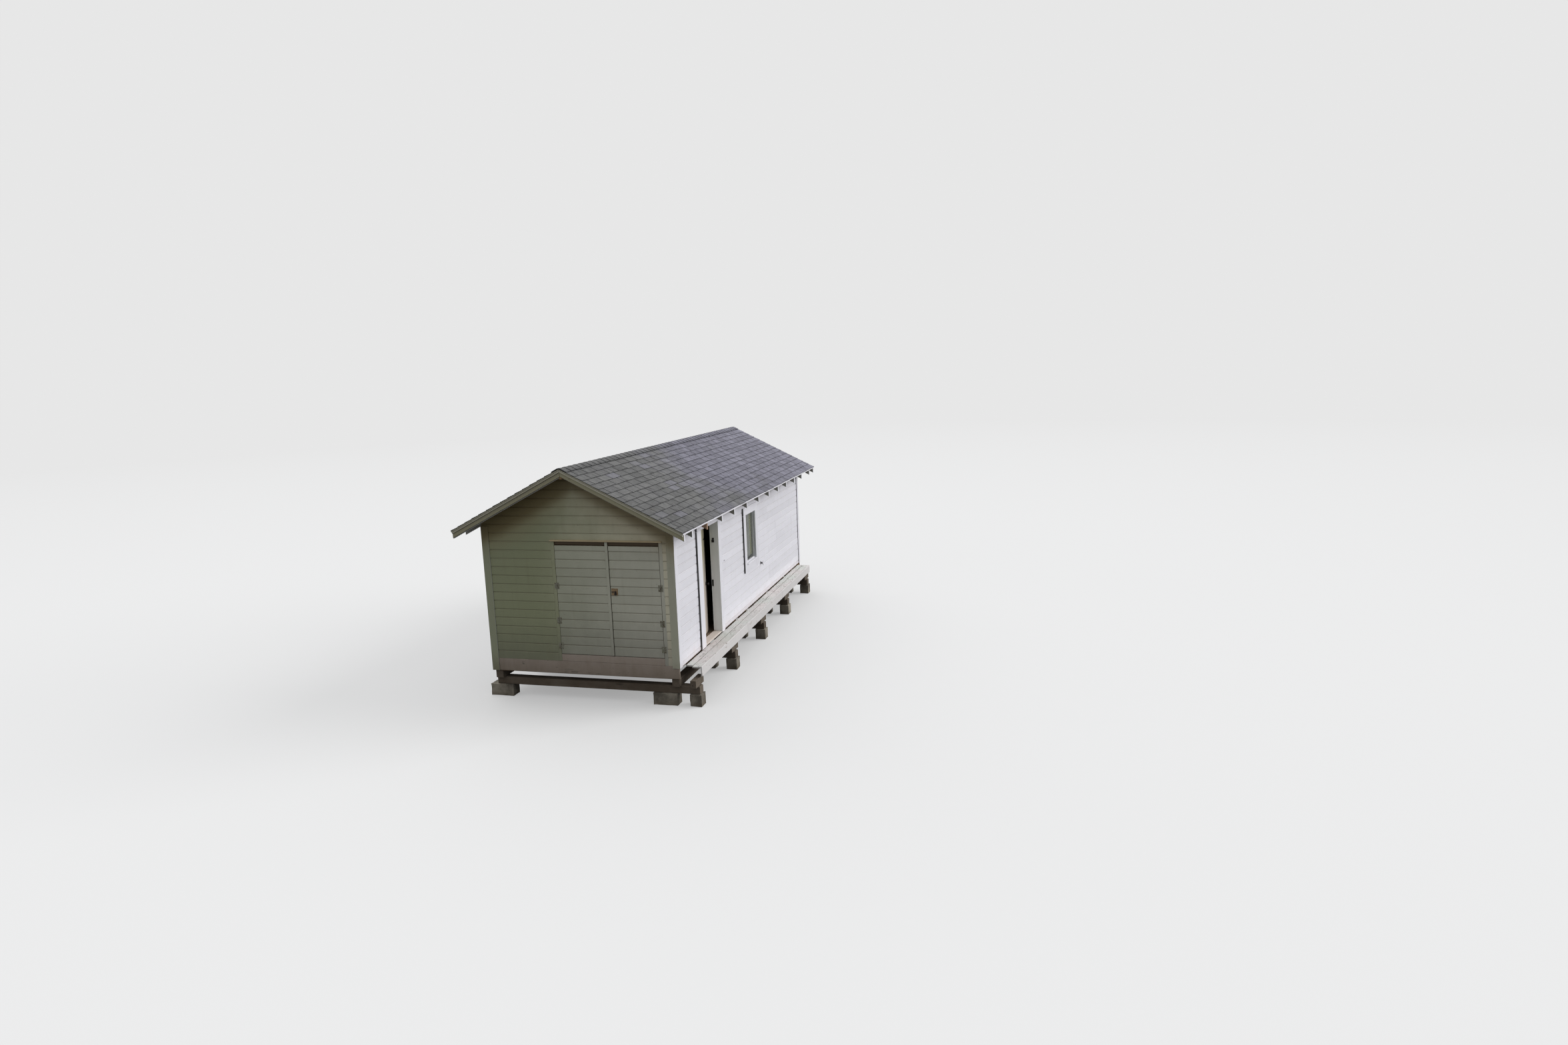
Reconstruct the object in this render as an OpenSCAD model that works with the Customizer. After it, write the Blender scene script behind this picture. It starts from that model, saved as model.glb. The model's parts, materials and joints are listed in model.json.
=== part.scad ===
// Boathouse: a framed shed on block piers, with a pair of land doors,
// a side door onto a plank walkway and one side window.
// Front (land side) faces -Y, walkway side +X, lake side +Y. Millimetres.

/* [Walls] */
// Width over the siding of the side walls
wall_w = 3050; // [2900:10:3300]
// Length over the siding of the end walls
wall_l = 7480; // [7200:10:7800]
// Thickness of the siding
siding_t = 19; // [15:1:25]
// Depth of the studs
stud_d = 89; // [80:1:100]
// Thickness of studs, rafters and plates
lumber_t = 38; // [30:1:50]
// Height of one siding course on the wall
course_h = 130.7; // [120:0.1:140]
// Level of the lowest course line of the front wall
course_z = 629; // [600:1:660]

/* [Foundation] */
// Height of the concrete blocks
block_h = 190; // [150:5:200]
// Length of a block, across the building
block_l = 390; // [300:5:400]
// Width of a block, along the building
block_w = 190; // [150:5:200]
// Height of the cross timbers on the blocks
bearer_h = 115; // [90:5:140]
// Height and width of the long floor beams
beam_h = 120; // [90:5:140]
// Depth of the floor joists
joist_h = 140; // [120:5:180]
// Thickness of the floor boards
deck_t = 25; // [19:1:38]
// Number of pier lines along the building
pier_rows = 5; // [4:1:6]

/* [Roof] */
// Level of the shingle faces where they meet at the ridge
ridge_z = 3580; // [3500:5:3650]
// Rise of the roof for each unit of run
pitch = 0.5; // [0.45:0.01:0.55]
// Reach of the eaves beyond the side walls
eave_over = 300; // [250:5:350]
// Reach of the roof beyond the front wall
front_over = 350; // [300:5:400]
// Reach of the roof beyond the lake wall
back_over = 410; // [350:5:450]
// Depth of the rafters
rafter_d = 89; // [80:1:120]
// Thickness of the roof boards
board_t = 19; // [15:1:25]
// Thickness of the shingle layer
shingle_t = 10; // [8:1:14]
// Gap between the middle stretches of neighbouring rafters
rafter_step = 668; // [640:1:700]
// Reach of the ridge cap down each slope
cap_w = 130; // [100:5:160]

/* [Land doors] */
// Hinge side of the left leaf, from the middle of the gable
land_x0 = -351; // [-380:1:-320]
// Hinge side of the right leaf, from the middle of the gable
land_x1 = 1303; // [1270:1:1330]
// Meeting line of the two leaves
land_xm = 513; // [470:1:560]
// Underside of both leaves
land_z0 = 745; // [730:1:760]
// Top of both leaves
land_z1 = 2400; // [2350:1:2420]
// Underside of the wall over the doors
land_head_z = 2465; // [2440:1:2500]
// Width of the upright trim boards
land_trim_w = 54; // [40:1:70]
// Clearance round a leaf
door_gap = 6; // [5:1:10]
// Clearance between the two leaves
meet_gap = 10; // [9:1:14]
// Levels of the hinges on each leaf
hinge_levels = [870, 1260, 1790];
// Height of a hinge
hinge_h = 96; // [75:3:120]

/* [Side door] */
// Near side of the opening, from the front wall
side_y0 = 1120; // [1050:5:1200]
// Far side of the opening, from the front wall
side_y1 = 1930; // [1850:5:2000]
// Top of the opening
side_z1 = 2450; // [2350:5:2480]
// Angle at which the door stands open
side_ajar = 9; // [0:1:40]
// Thickness of the door leaf
side_leaf_t = 38; // [30:1:45]
// Width of the casing boards round the side openings
casing_w = 140; // [90:1:150]
// Width of the wider casing board on the hinge side of the door
near_casing_w = 190; // [140:1:200]
// Level of the knob
knob_z = 1420; // [1300:5:1600]
// Level of the staple that holds the padlock
staple_z = 2160; // [2050:5:2200]
// Thickness of those casing boards
casing_t = 28; // [19:1:32]

/* [Window] */
// Near side of the clear opening, from the front wall
win_y0 = 3490; // [3400:5:3600]
// Far side of the clear opening, from the front wall
win_y1 = 4070; // [4000:5:4200]
// Top of the sill
win_z0 = 1420; // [1380:5:1460]
// Top of the opening
win_z1 = 2290; // [2200:5:2320]

/* [Walkway] */
// Near end of the walkway, from the front wall
walk_y0 = 150; // [100:10:300]
// Far end of the walkway, from the front wall
walk_y1 = 7200; // [6900:10:7300]
// Gap between the wall and the first plank
walk_gap = 20; // [15:1:30]
// Width of the plank next to the wall
plank_in_w = 110; // [90:1:140]
// Width of the outer plank
plank_out_w = 134; // [110:1:150]
// Height of the upright edge board
fascia_h = 150; // [120:1:160]

/* [Wall ironwork] */
// Place of the rope cleat, from the front wall
cleat_y = 4410; // [4300:10:4600]
// Level of the rope cleat
cleat_z = 1230; // [900:10:1500]
// Place of the small hook, from the front wall
hook_y = 2210; // [2150:10:3000]
// Level of the small hook
hook_z = 1735; // [1300:5:1900]

/* [Hidden] */
$fn = 32;
fudge = 1;
half_w = wall_w / 2;
// the part's origin is below the middle of the roof
roof_l = wall_l + front_over + back_over;
y_front = front_over - roof_l / 2;
y_back = y_front + wall_l;
y_rake0 = -roof_l / 2;
y_rake1 = roof_l / 2;

bearer_z = block_h + bearer_h;
beam_z = bearer_z + beam_h;
joist_z = beam_z + joist_h;
floor_z = joist_z + deck_t;
frame_x = half_w - siding_t;
inner_x = frame_x - stud_d;
y_frame0 = y_front + siding_t;
y_frame1 = y_back - siding_t;

// vertical thickness of a layer that lies on the slope
slant = sqrt(1 + pitch * pitch);
shingle_v = shingle_t * slant;
board_v = board_t * slant;
rafter_v = rafter_d * slant;
eave_x = half_w + eave_over;
deck_edge_x = eave_x - 18;
eave_strip_t = 12;
tail_x = eave_x - 10;
function top_z(x) = ridge_z - pitch * abs(x);
function deck_top(x) = top_z(x) - shingle_v;
function rafter_top(x) = deck_top(x) - board_v;
function rafter_low(x) = rafter_top(x) - rafter_v;
plate_z = rafter_low(inner_x);
plate_t = 2 * lumber_t;
ridge_low = rafter_low(lumber_t / 2) - 20;

stud_pitch = 610;
corner_w = 116;
corner_proud = 12;
corner_t = 25;
skirt_z = floor_z - fascia_h - 5;

land_depth = siding_t + lumber_t;
knuckle_r = 6;
pin_r = 3;
pin_clear = 0.3;
hinge_off = 7;
hinge_plate_w = 28;
hinge_plate_t = 3;

jamb_t = 32;
rebate = 12;
sill_t = 25;
sill_z = floor_z + sill_t;
jamb_in_x = inner_x - 19;
side_axis_x = jamb_in_x - hinge_off;
side_axis_y = y_front + side_y0 - rebate + door_gap / 2;
side_leaf_w = side_y1 - side_y0 + 2 * rebate - 2 * door_gap;
side_leaf_z0 = sill_z + door_gap;
side_leaf_z1 = side_z1 + rebate - door_gap;
casing_x = half_w + casing_t;

walk_x0 = half_w + walk_gap;
plank_seam = 6;
walk_x1 = walk_x0 + plank_in_w + plank_seam + plank_out_w;
fascia_t = 19;

// a plain block between two opposite corners
module block(x0, x1, y0, y1, z0, z1) {
    translate([x0, y0, z0]) cube([x1 - x0, y1 - y0, z1 - z0]);
}

// a cross-section drawn in X and Z, run along Y
module along_y(y0, y1) {
    translate([0, y1, 0]) rotate([90, 0, 0]) linear_extrude(y1 - y0) children();
}

// a cross-section drawn in Y and Z, run along X
module along_x(x0, x1) {
    translate([x0, 0, 0]) rotate([90, 0, 90]) linear_extrude(x1 - x0) children();
}

// Foundation and floor

pier_first = y_front + 150;
pier_last = y_front + walk_y1 - 110;
function pier_y(i) = pier_first + (pier_last - pier_first) * i / (pier_rows - 1);
beam_x = frame_x - beam_h / 2;
bearer_w = 140;
crib_x = walk_x1 - 70;

module pier_blocks() {
    color("gray")
        for (i = [0 : pier_rows - 1])
            for (x = [-beam_x, beam_x - block_l / 2, crib_x])
                pier_block(x, pier_y(i), x == crib_x ? block_w : block_l);
}

module pier_block(x, y, w) {
    block(x - w / 2, x + w / 2, y - block_w / 2, y + block_w / 2, 0, block_h);
}

module pier_bearers() {
    color("dimgray")
        for (i = [0 : pier_rows - 1]) {
            y = pier_y(i);
            block(-half_w, walk_x1, y - bearer_w / 2, y + bearer_w / 2, block_h, bearer_z);
        }
}

// short timbers that carry the joist ends under the walkway
module walkway_cribs() {
    color("dimgray")
        for (i = [0 : pier_rows - 1])
            block(crib_x - 45, crib_x + 45, pier_y(i) - 170, pier_y(i) + 170, bearer_z, beam_z);
}

module floor_beams() {
    color("tan")
        for (x = [-beam_x, beam_x])
            block(x - beam_h / 2, x + beam_h / 2, y_frame0, y_frame1, bearer_z, beam_z);
}

joist_count = 12;
function joist_y(i) = y_frame0 + lumber_t / 2
    + (y_frame1 - y_frame0 - lumber_t) * i / (joist_count - 1);
function under_walkway(y) = y > y_front + walk_y0 + lumber_t && y < y_front + walk_y1 - lumber_t;

module floor_joists() {
    color("tan")
        for (i = [0 : joist_count - 1]) {
            y = joist_y(i);
            end_x = under_walkway(y) ? walk_x1 : frame_x;
            block(-frame_x, end_x, y - lumber_t / 2, y + lumber_t / 2, beam_z, joist_z);
        }
}

module floor_deck() {
    color("burlywood")
        block(-frame_x, frame_x, y_frame0, y_frame1, joist_z, floor_z);
}

module walkway_planks() {
    color("gainsboro") {
        y0 = y_front + walk_y0;
        y1 = y_front + walk_y1;
        block(walk_x0, walk_x0 + plank_in_w, y0 + 60, y1, joist_z, floor_z);
        block(walk_x1 - plank_out_w, walk_x1, y0, y1, joist_z, floor_z);
    }
}

module walkway_fascia() {
    color("white")
        block(walk_x1, walk_x1 + fascia_t, y_front + walk_y0, y_front + walk_y1,
              floor_z - fascia_h, floor_z);
}

// Wall framing: plates and headers, and the studs that stand between them

stud_z0 = floor_z + lumber_t;
stud_z1 = plate_z - plate_t;
y_side0 = y_frame0 + stud_d;
y_side1 = y_frame1 - stud_d;
door_rough0 = y_front + side_y0 - jamb_t;
door_rough1 = y_front + side_y1 + jamb_t;
win_rough = 30;
win_rough0 = y_front + win_y0 - win_rough;
win_rough1 = y_front + win_y1 + win_rough;
win_sill_z = win_z0 - win_rough - lumber_t;
win_head_z = win_z1 + win_rough;

// first faces of the studs of a panel, spread evenly between its ends
function stud_starts(p0, p1) =
    let (n = max(1, round((p1 - p0 - lumber_t) / stud_pitch)))
    [for (i = [0 : n]) p0 + i * (p1 - p0 - lumber_t) / n];
function beside_window(y) = y + lumber_t < win_rough0 - lumber_t || y > win_rough1 + lumber_t;

module side_wall_plates() {
    color("burlywood") {
        along_x(-frame_x, -inner_x) {
            translate([y_side0, floor_z]) square([y_side1 - y_side0, lumber_t]);
            translate([y_side0, stud_z1]) square([y_side1 - y_side0, plate_t]);
        }
        along_x(inner_x, frame_x) {
            translate([y_side0, floor_z]) square([door_rough0 - y_side0, lumber_t]);
            translate([door_rough1, floor_z]) square([y_side1 - door_rough1, lumber_t]);
            translate([y_side0, stud_z1]) square([y_side1 - y_side0, plate_t]);
            // header over the side door
            translate([door_rough0, side_z1 + jamb_t])
                square([door_rough1 - door_rough0, stud_z1 - side_z1 - jamb_t - fudge]);
            // rough sill and header of the window
            translate([win_rough0, win_sill_z]) square([win_rough1 - win_rough0, lumber_t]);
            translate([win_rough0, win_head_z]) square([win_rough1 - win_rough0, stud_d]);
        }
    }
}

module side_wall_studs() {
    color("burlywood") {
        along_x(-frame_x, -inner_x)
            for (y = stud_starts(y_side0, y_side1)) side_stud(y, stud_z0, stud_z1);
        along_x(inner_x, frame_x) {
            for (y = stud_starts(y_side0, door_rough0)) side_stud(y, stud_z0, stud_z1);
            for (y = stud_starts(door_rough1, y_side1))
                if (beside_window(y)) side_stud(y, stud_z0, stud_z1);
            for (y = [win_rough0 - lumber_t, win_rough1]) side_stud(y, stud_z0, stud_z1);
            // cripples under and over the window
            side_stud((win_rough0 + win_rough1 - lumber_t) / 2, stud_z0, win_sill_z);
            side_stud((win_rough0 + win_rough1 - lumber_t) / 2, win_head_z + stud_d, stud_z1);
        }
    }
}

module side_stud(y, z0, z1) {
    translate([y, z0]) square([lumber_t, z1 - z0]);
}

module end_wall_plates() {
    color("burlywood") {
        block(-frame_x, frame_x, y_frame1 - stud_d, y_frame1, floor_z, stud_z0);
        block(-frame_x, frame_x, y_frame1 - stud_d, y_frame1, stud_z1, plate_z);
        block(-frame_x, land_x0, y_frame0, y_frame0 + stud_d, floor_z, stud_z0);
        block(land_x1, frame_x, y_frame0, y_frame0 + stud_d, floor_z, stud_z0);
        // header over the land doors, with the plate on it
        block(-frame_x, frame_x, y_frame0, y_frame0 + stud_d, land_head_z, plate_z);
    }
}

module end_wall_studs() {
    color("burlywood") {
        along_y(y_frame1 - stud_d, y_frame1) {
            for (x = stud_starts(-frame_x, frame_x)) end_stud(x, stud_z1);
            gable_studs();
        }
        along_y(y_frame0, y_frame0 + stud_d) {
            for (x = stud_starts(-frame_x, land_x0)) end_stud(x, land_head_z);
            for (x = [land_x1, frame_x - lumber_t]) end_stud(x, land_head_z);
            gable_studs();
        }
    }
}

module end_stud(x, z1) {
    translate([x, stud_z0]) square([lumber_t, z1 - stud_z0]);
}

// gable studs between the plate and the end rafters, the middle one under the ridge board
module gable_studs() {
    half = lumber_t / 2;
    translate([-half, plate_z]) square([lumber_t, ridge_low - plate_z]);
    for (x = [-stud_pitch, stud_pitch])
        polygon([
            [x - half, plate_z],
            [x + half, plate_z],
            [x + half, rafter_low(x + half)],
            [x - half, rafter_low(x - half)],
        ]);
}

// Siding

// a gable wall up to the roof boards, notched for the ridge board
module gable_outline(low, half) {
    notch = lumber_t / 2 + fudge;
    polygon([
        [-half, low],
        [half, low],
        [half, rafter_top(half)],
        [notch, rafter_top(notch)],
        [notch, ridge_low - fudge],
        [-notch, ridge_low - fudge],
        [-notch, rafter_top(notch)],
        [-half, rafter_top(half)],
    ]);
}

side_top_z = rafter_low(half_w);
corner_top_z = rafter_low(half_w + corner_proud);
siding_low = floor_z + 6;

module left_siding() {
    color("white")
        block(-half_w, -frame_x, y_front + siding_t, y_back - siding_t, skirt_z, side_top_z);
}

module back_siding() {
    color("lightgray")
        along_y(y_back - siding_t, y_back) gable_outline(skirt_z, half_w);
}

module right_siding() {
    y0 = y_front + siding_t;
    height = side_top_z - siding_low;
    color("white")
        along_x(frame_x, half_w) {
            translate([y0, siding_low]) square([door_rough0 - y0, height]);
            translate([door_rough0 + fudge, side_z1 + jamb_t])
                square([door_rough1 - door_rough0 - 2 * fudge, side_top_z - side_z1 - jamb_t]);
            difference() {
                translate([door_rough1, siding_low]) square([y_back - siding_t - door_rough1, height]);
                translate([win_rough0, win_z0 - win_rough])
                    square([win_rough1 - win_rough0, win_z1 - win_z0 + 2 * win_rough]);
            }
        }
}

module front_siding() {
    left_edge = land_x0 - land_trim_w;
    right_edge = land_x1 + land_trim_w;
    color("lightgray")
        along_y(y_front, y_front + siding_t) {
            translate([-half_w, course_z]) square([left_edge + half_w, land_head_z - course_z - fudge]);
            translate([right_edge, course_z]) square([half_w - right_edge, land_head_z - course_z - fudge]);
            gable_outline(land_head_z, half_w);
        }
}

// L-shaped boards that cover the four corners
module corner_boards() {
    color("white")
        for (sx = [-1, 1])
            for (end = [[y_front, -1], [y_back, 1]])
                corner_board(sx, end[0], end[1], sx > 0 ? siding_low : skirt_z);
}

module corner_board(sx, y, sy, low) {
    x_out = sx * (half_w + corner_proud);
    y_out = y + sy * corner_proud;
    translate([x_out, y_out, low])
        mirror([sx > 0 ? 1 : 0, 0, 0])
            mirror([0, sy > 0 ? 1 : 0, 0])
                linear_extrude(corner_top_z - low)
                    difference() {
                        square(corner_w);
                        translate([corner_proud, corner_proud]) square(corner_w);
                    }
}

// Land doors

module front_door_trim() {
    color("silver") {
        along_y(y_front, y_front + siding_t) {
            translate([land_x0 - land_trim_w, course_z]) square([land_trim_w, land_head_z - course_z]);
            translate([land_x1, course_z]) square([land_trim_w, land_head_z - course_z]);
        }
        // drip strip over the doorway
        block(land_x0 - land_trim_w, land_x1 + land_trim_w, y_front - 30, y_front,
              land_head_z, land_head_z + 22);
        // head board, set back behind the leaves' faces
        block(land_x0, land_x1, y_front + siding_t, y_front + siding_t + 25,
              land_z1 + 10, land_head_z);
    }
}

// skirt board and threshold of the land doors, and the sill of the side door
module door_sills() {
    color("dimgray") {
        block(-half_w, half_w, y_front, y_front + siding_t, skirt_z, course_z - fudge);
        block(land_x0, land_x1, y_front, y_front + land_depth, course_z, land_z0 - 10);
        side_door_sill();
    }
}

// its nose stands out between the casing boards
module side_door_sill() {
    nose = 10;
    translate([0, 0, floor_z])
        linear_extrude(sill_t) {
            translate([jamb_in_x, door_rough0]) square([half_w - jamb_in_x, door_rough1 - door_rough0]);
            translate([half_w - fudge, y_front + side_y0]) square([nose + fudge, side_y1 - side_y0]);
        }
}

// one leaf: siding outside, a braced frame inside
module land_leaf(x0, x1, brace_up) {
    rail = 89;
    y_in = y_front + siding_t;
    block(x0, x1, y_front, y_in, land_z0, land_z1);
    along_y(y_in, y_in + lumber_t)
        difference() {
            translate([x0, land_z0]) square([x1 - x0, land_z1 - land_z0]);
            leaf_panel(x0 + rail, x1 - rail, land_z0 + rail, (land_z0 + land_z1 - rail) / 2, brace_up);
            leaf_panel(x0 + rail, x1 - rail, (land_z0 + land_z1 + rail) / 2, land_z1 - rail, brace_up);
        }
}

// the two hollows beside a diagonal brace
module leaf_panel(x0, x1, z0, z1, brace_up) {
    half = 55;
    slope = (z1 - z0) / (x1 - x0);
    dz = half * sqrt(1 + slope * slope);
    a = brace_up ? z0 : z1;
    b = brace_up ? z1 : z0;
    s = brace_up ? 1 : -1;
    polygon([[x0, a + s * dz], [x1 - dz / slope, b], [x0, b]]);
    polygon([[x1, b - s * dz], [x0 + dz / slope, a], [x1, a]]);
}

// the left leaf carries the upright strip beside the meeting line
module front_door_left() {
    edge = land_xm - meet_gap / 2;
    strip_w = 42;
    strip_t = 10;
    color("lightgray") {
        land_leaf(land_x0 + door_gap, edge, true);
        block(edge - strip_w, edge, y_front - strip_t, y_front, land_z0, land_head_z - door_gap);
    }
}

module front_door_right() {
    color("lightgray") land_leaf(land_xm + meet_gap / 2, land_x1 - door_gap, false);
}

// Hinges: the axis is the local Z axis, the plates lie at y = hinge_off

module hinge_knuckle(z0, z1, side) {
    translate([0, 0, z0]) cylinder(h = z1 - z0, r = knuckle_r);
    block(side > 0 ? 0 : -8, side > 0 ? 8 : 0, hinge_off - 4, hinge_off, z0, z1);
}

module hinge_plate(side) {
    x0 = side > 0 ? 8 : -8 - hinge_plate_w;
    block(x0, x0 + hinge_plate_w, hinge_off - hinge_plate_t, hinge_off, -hinge_h / 2, hinge_h / 2);
}

// outer knuckles, plate and pin
module hinge_fixed(side) {
    third = hinge_h / 6;
    hinge_plate(side);
    hinge_knuckle(-hinge_h / 2, -third - 1, side);
    hinge_knuckle(third + 1, hinge_h / 2, side);
    translate([0, 0, -hinge_h / 2]) cylinder(h = hinge_h, r = pin_r);
}

// middle knuckle and plate, bored for the pin
module hinge_moving(side) {
    third = hinge_h / 6;
    difference() {
        union() {
            hinge_plate(side);
            hinge_knuckle(-third, third, side);
        }
        translate([0, 0, -hinge_h]) cylinder(h = 2 * hinge_h, r = pin_r + pin_clear);
    }
}

left_axis_x = land_x0 + door_gap / 2;
right_axis_x = land_x1 - door_gap / 2;
land_axis_y = y_front - hinge_off;

module at_land_hinges(x) {
    for (z = hinge_levels)
        translate([x, land_axis_y, z]) children();
}

// halves of the butt hinges that stay on the building
module fixed_hinge_plates() {
    color("saddlebrown") {
        at_land_hinges(left_axis_x) hinge_fixed(-1);
        at_land_hinges(right_axis_x) hinge_fixed(1);
        translate([side_axis_x, side_axis_y, 0]) at_side_hinges() hinge_fixed(-1);
    }
}

module left_leaf_hinges() {
    color("saddlebrown") at_land_hinges(left_axis_x) hinge_moving(1);
}

module right_leaf_hinges() {
    color("saddlebrown") at_land_hinges(right_axis_x) hinge_moving(-1);
}

// a padlock of width w that hangs in the local X-Z plane, the top of its shackle at the origin
lock_t = 15;
shackle_r = 14;
wire_r = 3;
module padlock(w) {
    top = 2 - shackle_r;
    translate([0, 0, -shackle_r])
        rotate([90, 0, 0])
            rotate_extrude(angle = 180) translate([shackle_r - wire_r, 0]) circle(wire_r);
    block(-w / 2, w / 2, -lock_t / 2, lock_t / 2, top - w, top);
}

// a staple whose upright bar stands out along local -Y
staple_reach = 19;
staple_gap = 20;
module staple() {
    bar_r = 3.5;
    for (s = [-1, 1])
        translate([0, 0, s * staple_gap / 2]) rotate([90, 0, 0]) cylinder(h = staple_reach, r = wire_r);
    translate([0, -staple_reach, -staple_gap / 2 - bar_r]) cylinder(h = staple_gap + 2 * bar_r, r = bar_r);
}

// a padlock of width w that hangs on the lower leg of a staple
module locked_staple(w) {
    staple();
    translate([0, -10, 2 * wire_r - 1.5 - staple_gap / 2]) padlock(w);
}

// square plate on the right leaf, with the hasp strap across it, the staple and the padlock
hasp_z = 1720;
module front_door_hasp() {
    x0 = land_xm + meet_gap / 2 + 8;
    plate_w = 104;
    plate_t = 2;
    strap_l = 82;
    strap_h = 13;
    strap_t = 3;
    y_plate = y_front - plate_t;
    color("sienna") {
        block(x0, x0 + plate_w, y_plate, y_front, hasp_z - plate_w / 2, hasp_z + plate_w / 2);
        block(x0, x0 + strap_l, y_plate - strap_t, y_plate, hasp_z - strap_h / 2, hasp_z + strap_h / 2);
        translate([x0 + strap_l - 16, y_plate + fudge, hasp_z]) locked_staple(28);
    }
}

// Side door

module side_door_frame() {
    y0 = y_front + side_y0;
    y1 = y_front + side_y1;
    stop_x = jamb_in_x + side_leaf_t + door_gap;
    low = sill_z - fudge;
    color("lightgray")
        difference() {
            block(jamb_in_x, half_w, door_rough0, door_rough1, sill_z, side_z1 + jamb_t);
            block(jamb_in_x - fudge, half_w + fudge, y0, y1, low, side_z1);
            block(jamb_in_x - fudge, stop_x, y0 - rebate, y1 + rebate, low, side_z1 + rebate);
            strike_plate();
        }
}

// strike plate let into the far jamb
strike_t = 2;
module strike_plate() {
    y1 = y_front + side_y1 + rebate;
    block(jamb_in_x + 6, jamb_in_x + 34, y1 - fudge / 2, y1 + strike_t, knob_z - 55, knob_z + 55);
}

// strike plate, and the staple and padlock left hanging on the far jamb
module jamb_ironwork() {
    y1 = y_front + side_y1;
    lock_x = jamb_in_x + 60;
    intersection() {
        strike_plate();
        block(0, half_w, y1 + rebate, y1 + jamb_t, 0, ridge_z);
    }
    block(lock_x - 18, lock_x + 18, y1 - 3, y1, staple_z - 14, staple_z + 14);
    translate([lock_x, y1 - 2, staple_z]) locked_staple(40);
}

// flat boards round an opening of the walkway wall, the near one of its own width
module casing_boards(y0, y1, z1, low, near_w, head_h) {
    translate([y0 - near_w, low]) square([near_w, z1 - low]);
    translate([y1, low]) square([casing_w, z1 - low]);
    translate([y0 - near_w, z1]) square([y1 - y0 + near_w + casing_w, head_h]);
}

module side_casings() {
    head_h = 100;
    color("white") {
        along_x(half_w, casing_x)
            casing_boards(y_front + side_y0, y_front + side_y1, side_z1, floor_z + 4,
                          near_casing_w, head_h);
        window_casing();
    }
}

// places what belongs to the leaf, drawn closed with its hinge axis at the origin
module at_side_door() {
    translate([side_axis_x, side_axis_y, 0]) rotate([0, 0, side_ajar]) children();
}

// upright boards outside, three ledges inside, the lock's face let into the free edge
module side_door() {
    inner = hinge_off;
    ledge_t = 16;
    ledge_h = 120;
    y0 = door_gap / 2;
    y1 = y0 + side_leaf_w;
    color("tan")
        at_side_door()
            difference() {
                union() {
                    block(inner + ledge_t, inner + side_leaf_t, y0, y1, side_leaf_z0, side_leaf_z1);
                    for (z = ledge_levels)
                        block(inner, inner + ledge_t, y0, y1, z - ledge_h / 2, z + ledge_h / 2);
                }
                lock_face();
            }
}

ledge_levels = [side_leaf_z0 + 180, (side_leaf_z0 + side_leaf_z1) / 2, side_leaf_z1 - 180];

lock_face_t = 2;
lock_face_w = 18;
lock_face_h = 150;
module lock_face() {
    y1 = door_gap / 2 + side_leaf_w;
    x1 = hinge_off + side_leaf_t - 2;
    block(x1 - lock_face_w, x1, y1 - lock_face_t, y1, knob_z - lock_face_h / 2, knob_z + lock_face_h / 2);
}

// the side hinges lie on the room side, so they are turned a quarter turn
module at_side_hinges() {
    for (z = ledge_levels)
        translate([0, 0, z]) rotate([0, 0, -90]) mirror([1, 0, 0]) children();
}

// hinge halves, knobs outside and inside, the lock's face on the edge, and the strap of the hasp
module side_door_hardware() {
    outer = hinge_off + side_leaf_t;
    back = hinge_off + 16;
    knob_y = side_leaf_w - 60;
    color("dimgray")
        at_side_door() {
            at_side_hinges() hinge_moving(1);
            translate([outer, knob_y, knob_z]) rotate([0, 90, 0]) knob();
            translate([back, knob_y, knob_z]) rotate([0, -90, 0]) knob();
            lock_face();
            block(outer, outer + 3, side_leaf_w - 110, side_leaf_w - 30, staple_z - 14, staple_z + 14);
        }
}

// a turned knob on its rose, standing along the local Z axis
module knob() {
    rose_r = 27;
    neck_r = 9;
    knob_r = 24;
    rotate_extrude()
        polygon([[0, 0], [rose_r, 0], [rose_r, 3], [rose_r - 5, 7], [neck_r, 8], [neck_r, 30],
                 [knob_r - 6, 36], [knob_r, 44], [knob_r, 50], [knob_r - 7, 57], [0, 59]]);
}

// Small ironwork on the walkway side

module wall_ironwork() {
    color("black") {
        jamb_ironwork();
        translate([half_w, y_front + cleat_y, cleat_z]) rope_cleat();
        translate([half_w, y_front + hook_y, hook_z]) screw_hook();
    }
}

// a cast cleat screwed on upright that stands out along local +X: flared foot, neck, two horns
module rope_cleat() {
    foot = 36;
    neck = 9;
    horn = 46;
    reach = 54;
    dip = 16;
    width = 16;
    steps = 8;
    // height of the profile at a share u of the reach
    function flare(u) = neck + ((u < 0.5 ? foot : horn) - neck) * pow(abs(2 * u - 1), 2);
    upper = [for (i = [0 : steps]) [reach * i / steps, flare(i / steps)]];
    lower = [for (i = [steps : -1 : 0]) [reach * i / steps, -flare(i / steps)]];
    rotate([90, 0, 0])
        linear_extrude(height = width, center = true)
            polygon(concat(upper, [[reach - dip, 0]], lower));
}

// a plain screw hook, its point turned up
module screw_hook() {
    bend_r = 9;
    rotate([0, 90, 0]) cylinder(h = 16, r = 2.5);
    translate([16, 0, bend_r])
        rotate([90, 0, 0])
            rotate([0, 0, -90]) rotate_extrude(angle = 180) translate([bend_r, 0]) circle(2.5);
}

// Window

// boards round the window and its sill
module window_casing() {
    y0 = y_front + win_y0;
    y1 = y_front + win_y1;
    nose = 14;
    apron_h = 130;
    low = win_z0 - win_rough - apron_h;
    along_x(half_w, casing_x) {
        casing_boards(y0, y1, win_z1, low, casing_w, casing_w);
        translate([y0, low]) square([y1 - y0, apron_h]);
    }
    block(frame_x, casing_x + nose, y0, y1, win_z0 - win_rough, win_z0);
}

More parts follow.
